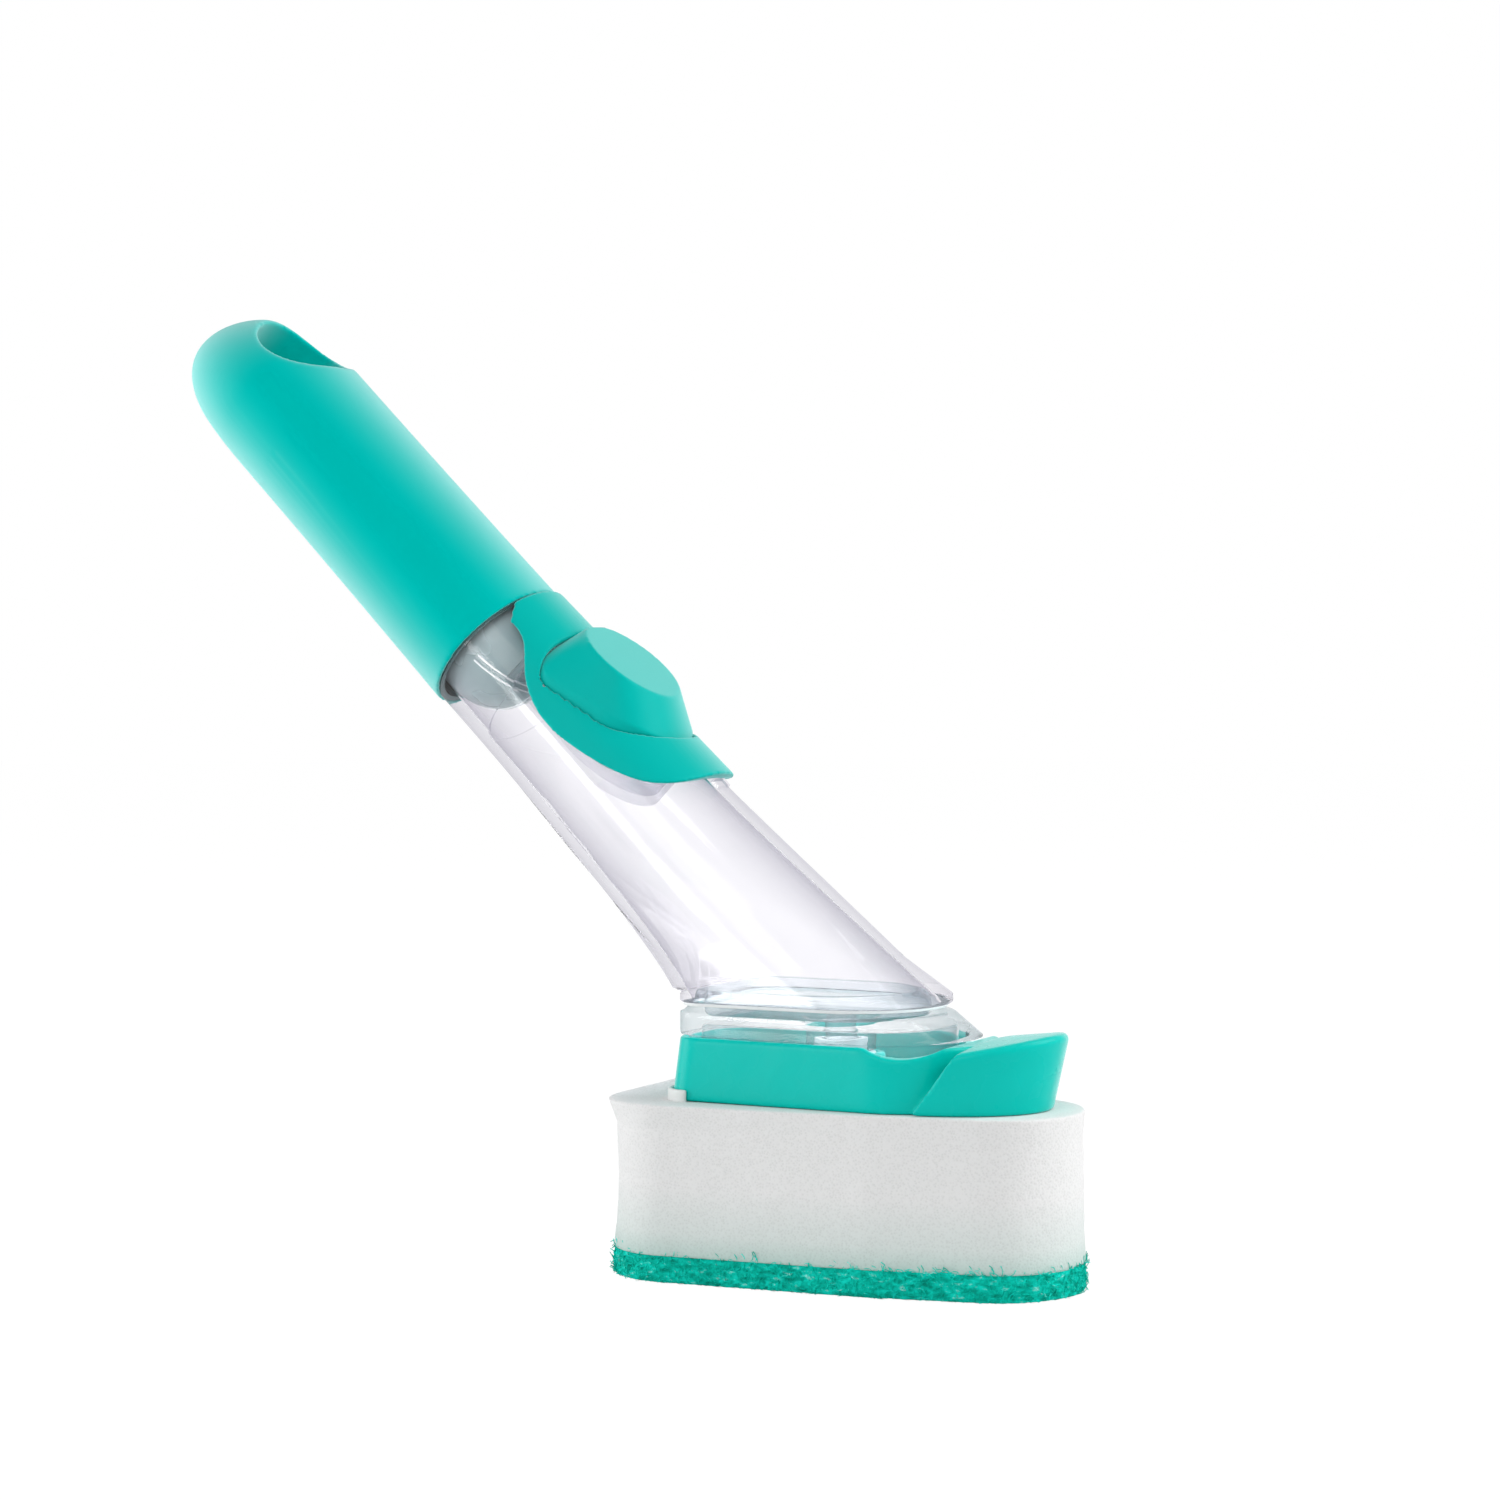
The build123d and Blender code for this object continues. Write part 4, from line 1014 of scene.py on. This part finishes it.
def wand_box(name, x, y, z):
    """A box in the wand's frame, from pairs of (low, high)."""
    plan = np.array([(x[0], y[0]), (x[1], y[0]), (x[1], y[1]), (x[0], y[1])])
    rings = [from_wand(np.column_stack([plan, np.full(4, height)])) for height in z]
    return skin(name, rings)


well = button_prism("well", WELL_MARGIN + WELL_WALL, WELL_FLOOR - WELL_PLATE, OVER)
combine(well, skin("tank_form", tank_rings(0, 0)), "INTERSECT")
combine(tank, well, "UNION")
lug_length, lug_width, lug_height = LUG
lug_foot = -BEZEL_TIP - EDGE - lug_length
lug = wand_box(
    "lug",
    (WAIST_RADIUS - LUG_ROOT, WAIST_RADIUS + lug_height),
    (-lug_width / 2, lug_width / 2),
    (lug_foot, lug_foot + lug_length),
)
combine(tank, lug, "UNION")
combine(tank, button_prism("well_void", WELL_MARGIN, WELL_FLOOR, OVER), "DIFFERENCE")
port_plan = arc((-BUTTON_AT, 0), PORT_RADIUS, 0, 360, PORT_SIDES)
port = wand_prism("port", port_plan, PORT_FOOT, OVER)
combine(tank, port, "DIFFERENCE")
tank.data.set_sharp_from_angle(angle=SHARP_ANGLE)
dress(tank, CLEAR, "tank", "clear", "reservoir")
print("tank faces:", len(tank.data.polygons))

# %% [markdown]
# ### The stopper's ribs
#
# The stopper under the handle is braced by two crossing ribs. Through its frosted dome their
# edges show as pale lines of light, which are painted on as thin beads of white plastic that
# lie on the dome, as a painted highlight.

# %% Lay the pale lines on the dome
PLUG_RADIUS = 12.92
PLUG_RIB = 1.4
BEAD = 0.22
BEAD_SIDES = 8
BEAD_RINGS = 60
BEAD_STOP = 13.0
ACROSS = np.array([1.0, 0.0, 0.0])


def bead(name, offset, crosswise):
    """A thin tube along the arc in which a plane beside the middle cuts the dome."""
    reach = sqrt(PLUG_RADIUS**2 - offset**2)
    sides = np.linspace(0, 2 * pi, BEAD_SIDES, endpoint=False)[:, None]
    rings = []
    for slope in np.radians(np.linspace(BEAD_STOP - 180, -BEAD_STOP, BEAD_RINGS)):
        out = np.array([0.0, cos(slope), sin(slope)])
        middle = offset * ACROSS + reach * out
        ring = middle + BEAD * (np.cos(sides) * out + np.sin(sides) * ACROSS)
        rings.append(from_wand(ring[:, [1, 0, 2]] if crosswise else ring))
    return skin(name, rings)


# Each bead is a painted highlight: white plastic laid on the dome where a rib's edge shows pale.
for crosswise in (False, True):
    for side in (-1, 1):
        line = bead(f"plug_line_{'xy'[crosswise]}{side + 1}", side * PLUG_RIB / 2, crosswise)
        line.data.materials.append(WHITE_PLASTIC)
        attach(line, "handle")

# %% [markdown]
# ## The sponge
#
# From below, the sponge is a teardrop: two wide back corners, a full waist and a round
# nose. The foam is cut from a block, so its skin wanders a little, and its top edge flares
# at the back. A disc is (along, across, radius), and a flare is (share of the height, growth
# at the back, growth at the front).

# %% The sponge's outline
SPONGE_DISCS = [(-31.5, -12.5, 13.5), (-31.5, 12.5, 13.5), (9.0, 0.0, 22.2), (30.0, 0.0, 17.6)]
PLATE_DISCS = [(-27.5, -14.0, 4.0), (-27.5, 14.0, 4.0), (11.0, 0.0, 17.6)]
SCOURER_TOP = 5.5
FOAM_TOP = 35.0
FOAM_FLARES = [
    (0.0, 0.9, 0.3),
    (0.2, 0.35, 0.1),
    (0.5, 0.0, 0.0),
    (0.85, 0.3, 0.0),
    (1.0, 1.9, 0.2),
]
HULL_POINTS = 1440
CROSSING_WAVES = 8
AROUND = 480


def even_ring(outline, height, count=AROUND):
    """The outline as a ring at a height, with its points spaced evenly along it."""
    closed = np.vstack([outline, outline[:1]])
    lengths = np.r_[0, np.cumsum(np.linalg.norm(np.diff(closed, axis=0), axis=1))]
    wanted = np.linspace(0, lengths[-1], count, endpoint=False)
    flat = [np.interp(wanted, lengths, closed[:, k]) for k in (0, 1)]
    return np.column_stack([*flat, np.full(count, height)])


def sponge_ring(height, back, front):
    """One level of the sponge, grown at its back and its front."""
    discs = [(x, y, r + (back if x < 0 else front)) for x, y, r in SPONGE_DISCS]
    return even_ring(hull(discs, HULL_POINTS), height)


def drawn_in(ring, amount, height):
    """A ring drawn in towards its middle by an amount, for a rounded lip or a flat end."""
    out = ring[:, :2] - ring[:, :2].mean(0)
    inner = ring.copy()
    inner[:, :2] -= out * (amount / np.linalg.norm(out, axis=1, keepdims=True))
    inner[:, 2] = height
    return inner


def waves(points, length, seed):
    """Smooth unevenness between -1 and 1 from crossing waves of about this length."""
    rng = np.random.default_rng(seed)
    total = np.zeros(len(points))
    for _ in range(CROSSING_WAVES):
        way = rng.normal(size=3)
        way *= 2 * pi / (length * rng.uniform(0.7, 1.5) * np.linalg.norm(way))
        total += np.sin(points @ way + rng.uniform(0, 2 * pi))
    return total / CROSSING_WAVES


def wander(rings, *kinds):
    """Moves ring points in and out by sums of (amount, length, seed) waves."""
    for ring in rings:
        out = ring[:, :2] - ring[:, :2].mean(0)
        out /= np.linalg.norm(out, axis=1, keepdims=True)
        shift = sum(amount * waves(ring, length, seed) for amount, length, seed in kinds)
        ring[:, :2] += out * shift[:, None]


# %% Build the foam
FOAM_LEVELS = 70
FOAM_FOOT = SCOURER_TOP - 0.2
FOAM_LIP = 0.4
FOAM_WAVES = ((0.25, 16.0, 3), (0.12, 5.0, 4), (0.06, 1.4, 5))
PLATE_SINK = 1.5
shares, backs, fronts = np.array(FOAM_FLARES).T
foam_rings = []
for share in np.linspace(0, 1, FOAM_LEVELS):
    level = FOAM_FOOT + (FOAM_TOP - FOAM_LIP - FOAM_FOOT) * share
    back_growth = np.interp(share, shares, backs)
    foam_rings.append(sponge_ring(level, back_growth, np.interp(share, shares, fronts)))
wander(foam_rings, *FOAM_WAVES)
edge = foam_rings[-1]
lip_ring = drawn_in(edge, 0.45, FOAM_TOP)
foam_rings += [drawn_in(edge, 0.12, FOAM_TOP - 0.15), lip_ring]
plate_ring = even_ring(hull(PLATE_DISCS, HULL_POINTS), FOAM_TOP)
for share in (0.15, 0.4, 0.7, 1.0):
    foam_rings.append(lip_ring * (1 - share) + plate_ring * share)
foam_rings.append(drawn_in(plate_ring, 0.2, FOAM_TOP - PLATE_SINK))
foam = skin("foam_block", foam_rings)
dress(foam, FOAM, "head", "foam", "sponge_foam")
print("foam faces:", len(foam.data.polygons))

# %% [markdown]
# ### The scourer
#
# The scourer is a mat of bonded fibres. A rough block gives it body, and thousands of
# loose fibres on its edge make the fuzzy look. The fibres are laid by a small node tree:
# points scattered on the mat, a bent strand on each, turned any way along the surface.

# %% Build the mat
MAT_LEVELS = 18
MAT_GROWTH = (0.55, 0.15)
MAT_WAVES = ((0.45, 1.3, 7), (0.3, 3.0, 8))
MAT_TOP_WAVES = (0.35, 2.5, 9)
mat_heights = np.linspace(0, 1, MAT_LEVELS)
mat_rings = [sponge_ring(SCOURER_TOP * share, *MAT_GROWTH) for share in mat_heights]
wander(mat_rings, *MAT_WAVES)
amount, length, seed = MAT_TOP_WAVES
for ring in mat_rings[-2:]:
    ring[:, 2] += amount * waves(ring, length, seed)
top_rings = [
    drawn_in(ring, reach, SCOURER_TOP - 0.1)
    for ring, reach in zip(mat_rings[:-4:-1], (1.0, 4.0, 9.0))
]
foot_rings = [mat_rings[0]]
for reach in (1.0, 4.0, 4.0):
    foot_rings.insert(0, drawn_in(foot_rings[0], reach, 0.0))
mat = skin("scourer_mat", foot_rings[:-1] + mat_rings + top_rings)
mat.data.materials.append(SCOURER)

# %% Lay the loose fibres
FIBRE_DENSITY = 5.6e6
FIBRE_LENGTH = 0.0021
FIBRE_RADIUS = 0.00008
FIBRE_BEND = 1.6
FIBRE_LEAN = 0.35
FIBRE_SPIN = 6.28
FIBRE_SIZES = (0.4, 1.3)
FIBRE_SEED = 11
EDGE_STEEPNESS = 0.75
LOWEST_POINT = 0.00002


def fibre_tree():
    """A node tree that scatters bent strands over the mat's edge and keeps the mat."""
    tree = bpy.data.node_groups.new("loose fibres", "GeometryNodeTree")
    tree.interface.new_socket("Geometry", in_out="INPUT", socket_type="NodeSocketGeometry")
    density = tree.interface.new_socket("Density", in_out="INPUT", socket_type="NodeSocketFloat")
    seed = tree.interface.new_socket("Seed", in_out="INPUT", socket_type="NodeSocketInt")
    tree.interface.new_socket("Geometry", in_out="OUTPUT", socket_type="NodeSocketGeometry")
    link = tree.links.new
    given = node(tree, "NodeGroupInput")
    result = node(tree, "NodeGroupOutput")
    place = node(tree, "GeometryNodeInputNormal")
    split = node(tree, "ShaderNodeSeparateXYZ")
    link(place.outputs[0], split.inputs[0])
    steep = node(tree, "ShaderNodeMath", operation="ABSOLUTE")
    link(split.outputs["Z"], steep.inputs[0])
    side = node(tree, "FunctionNodeCompare", operation="LESS_THAN")
    link(steep.outputs[0], side.inputs[0])
    side.inputs[1].default_value = EDGE_STEEPNESS
    scatter = node(tree, "GeometryNodeDistributePointsOnFaces")
    link(given.outputs["Geometry"], scatter.inputs["Mesh"])
    link(given.outputs["Density"], scatter.inputs["Density"])
    link(given.outputs["Seed"], scatter.inputs["Seed"])
    link(side.outputs[0], scatter.inputs["Selection"])
    strand = node(tree, "GeometryNodeCurveArc")
    strand.inputs["Resolution"].default_value = 4
    strand.inputs["Radius"].default_value = FIBRE_LENGTH / FIBRE_BEND
    strand.inputs["Sweep Angle"].default_value = FIBRE_BEND
    section = node(tree, "GeometryNodeCurvePrimitiveCircle")
    section.inputs["Resolution"].default_value = 3
    section.inputs["Radius"].default_value = FIBRE_RADIUS
    pipe = node(tree, "GeometryNodeCurveToMesh")
    link(strand.outputs["Curve"], pipe.inputs["Curve"])
    link(section.outputs["Curve"], pipe.inputs["Profile Curve"])
    middle = node(tree, "GeometryNodeTransform")
    middle.inputs["Translation"].default_value = (-FIBRE_LENGTH / FIBRE_BEND, 0.0, 0.0)
    link(pipe.outputs["Mesh"], middle.inputs["Geometry"])
    spin = node(tree, "FunctionNodeRandomValue", data_type="FLOAT_VECTOR")
    spin.inputs["Min"].default_value = (-FIBRE_LEAN, -FIBRE_LEAN, 0.0)
    spin.inputs["Max"].default_value = (FIBRE_LEAN, FIBRE_LEAN, FIBRE_SPIN)
    turned = node(tree, "FunctionNodeRotateEuler", space="LOCAL")
    link(scatter.outputs["Rotation"], turned.inputs["Rotation"])
    link(spin.outputs["Value"], turned.inputs["Rotate By"])
    size = node(tree, "FunctionNodeRandomValue", data_type="FLOAT")
    size.inputs[2].default_value = FIBRE_SIZES[0]
    size.inputs[3].default_value = FIBRE_SIZES[1]
    laid = node(tree, "GeometryNodeInstanceOnPoints")
    link(scatter.outputs["Points"], laid.inputs["Points"])
    link(middle.outputs["Geometry"], laid.inputs["Instance"])
    link(turned.outputs["Rotation"], laid.inputs["Rotation"])
    link(size.outputs[1], laid.inputs["Scale"])
    real = node(tree, "GeometryNodeRealizeInstances")
    link(laid.outputs["Instances"], real.inputs["Geometry"])
    both = node(tree, "GeometryNodeJoinGeometry")
    link(given.outputs["Geometry"], both.inputs["Geometry"])
    link(real.outputs["Geometry"], both.inputs["Geometry"])
    painted = node(tree, "GeometryNodeSetMaterial")
    painted.inputs["Material"].default_value = SCOURER
    link(both.outputs["Geometry"], painted.inputs["Geometry"])
    link(painted.outputs["Geometry"], result.inputs["Geometry"])
    return tree, density.identifier, seed.identifier


tree, density_input, seed_input = fibre_tree()
fuzz = mat.modifiers.new("fuzz", "NODES")
fuzz.node_group = tree
fuzz[density_input] = FIBRE_DENSITY
fuzz[seed_input] = FIBRE_SEED
settle(mat)
mesh = mat.data
points = np.empty(len(mesh.vertices) * 3)
mesh.vertices.foreach_get("co", points)
points = points.reshape(-1, 3)
points[:, 2] = np.clip(points[:, 2], LOWEST_POINT, None)
mesh.vertices.foreach_set("co", points.ravel())
dress(mat, SCOURER, "head", "scourer", "scourer_pad")
print("scourer faces:", len(mesh.polygons))

# %% [markdown]
# ## The small pieces
#
# Everything else keeps its own solid and only gets its finish here.

# %% Finish the other nodes
FINISHES = {
    "fill_plug": FROSTED,
    "button_plunger": WHITE_PLASTIC,
    "diaphragm_ring": WHITE_PLASTIC,
    "valve_retainer": WHITE_PLASTIC,
    "handle_core": GREY_PLASTIC,
    "return_spring": STEEL,
    "pump_diaphragm": SILICONE,
    "plug_seal": SILICONE,
    "base_gasket": SILICONE,
    "outlet_valve": SILICONE,
    "nozzle_seal": SILICONE,
}
for name, finish in FINISHES.items():
    piece = frame["nodes"][name]
    piece.data.materials.clear()
    piece.data.materials.append(finish)
print("nodes finished:", len(FINISHES))
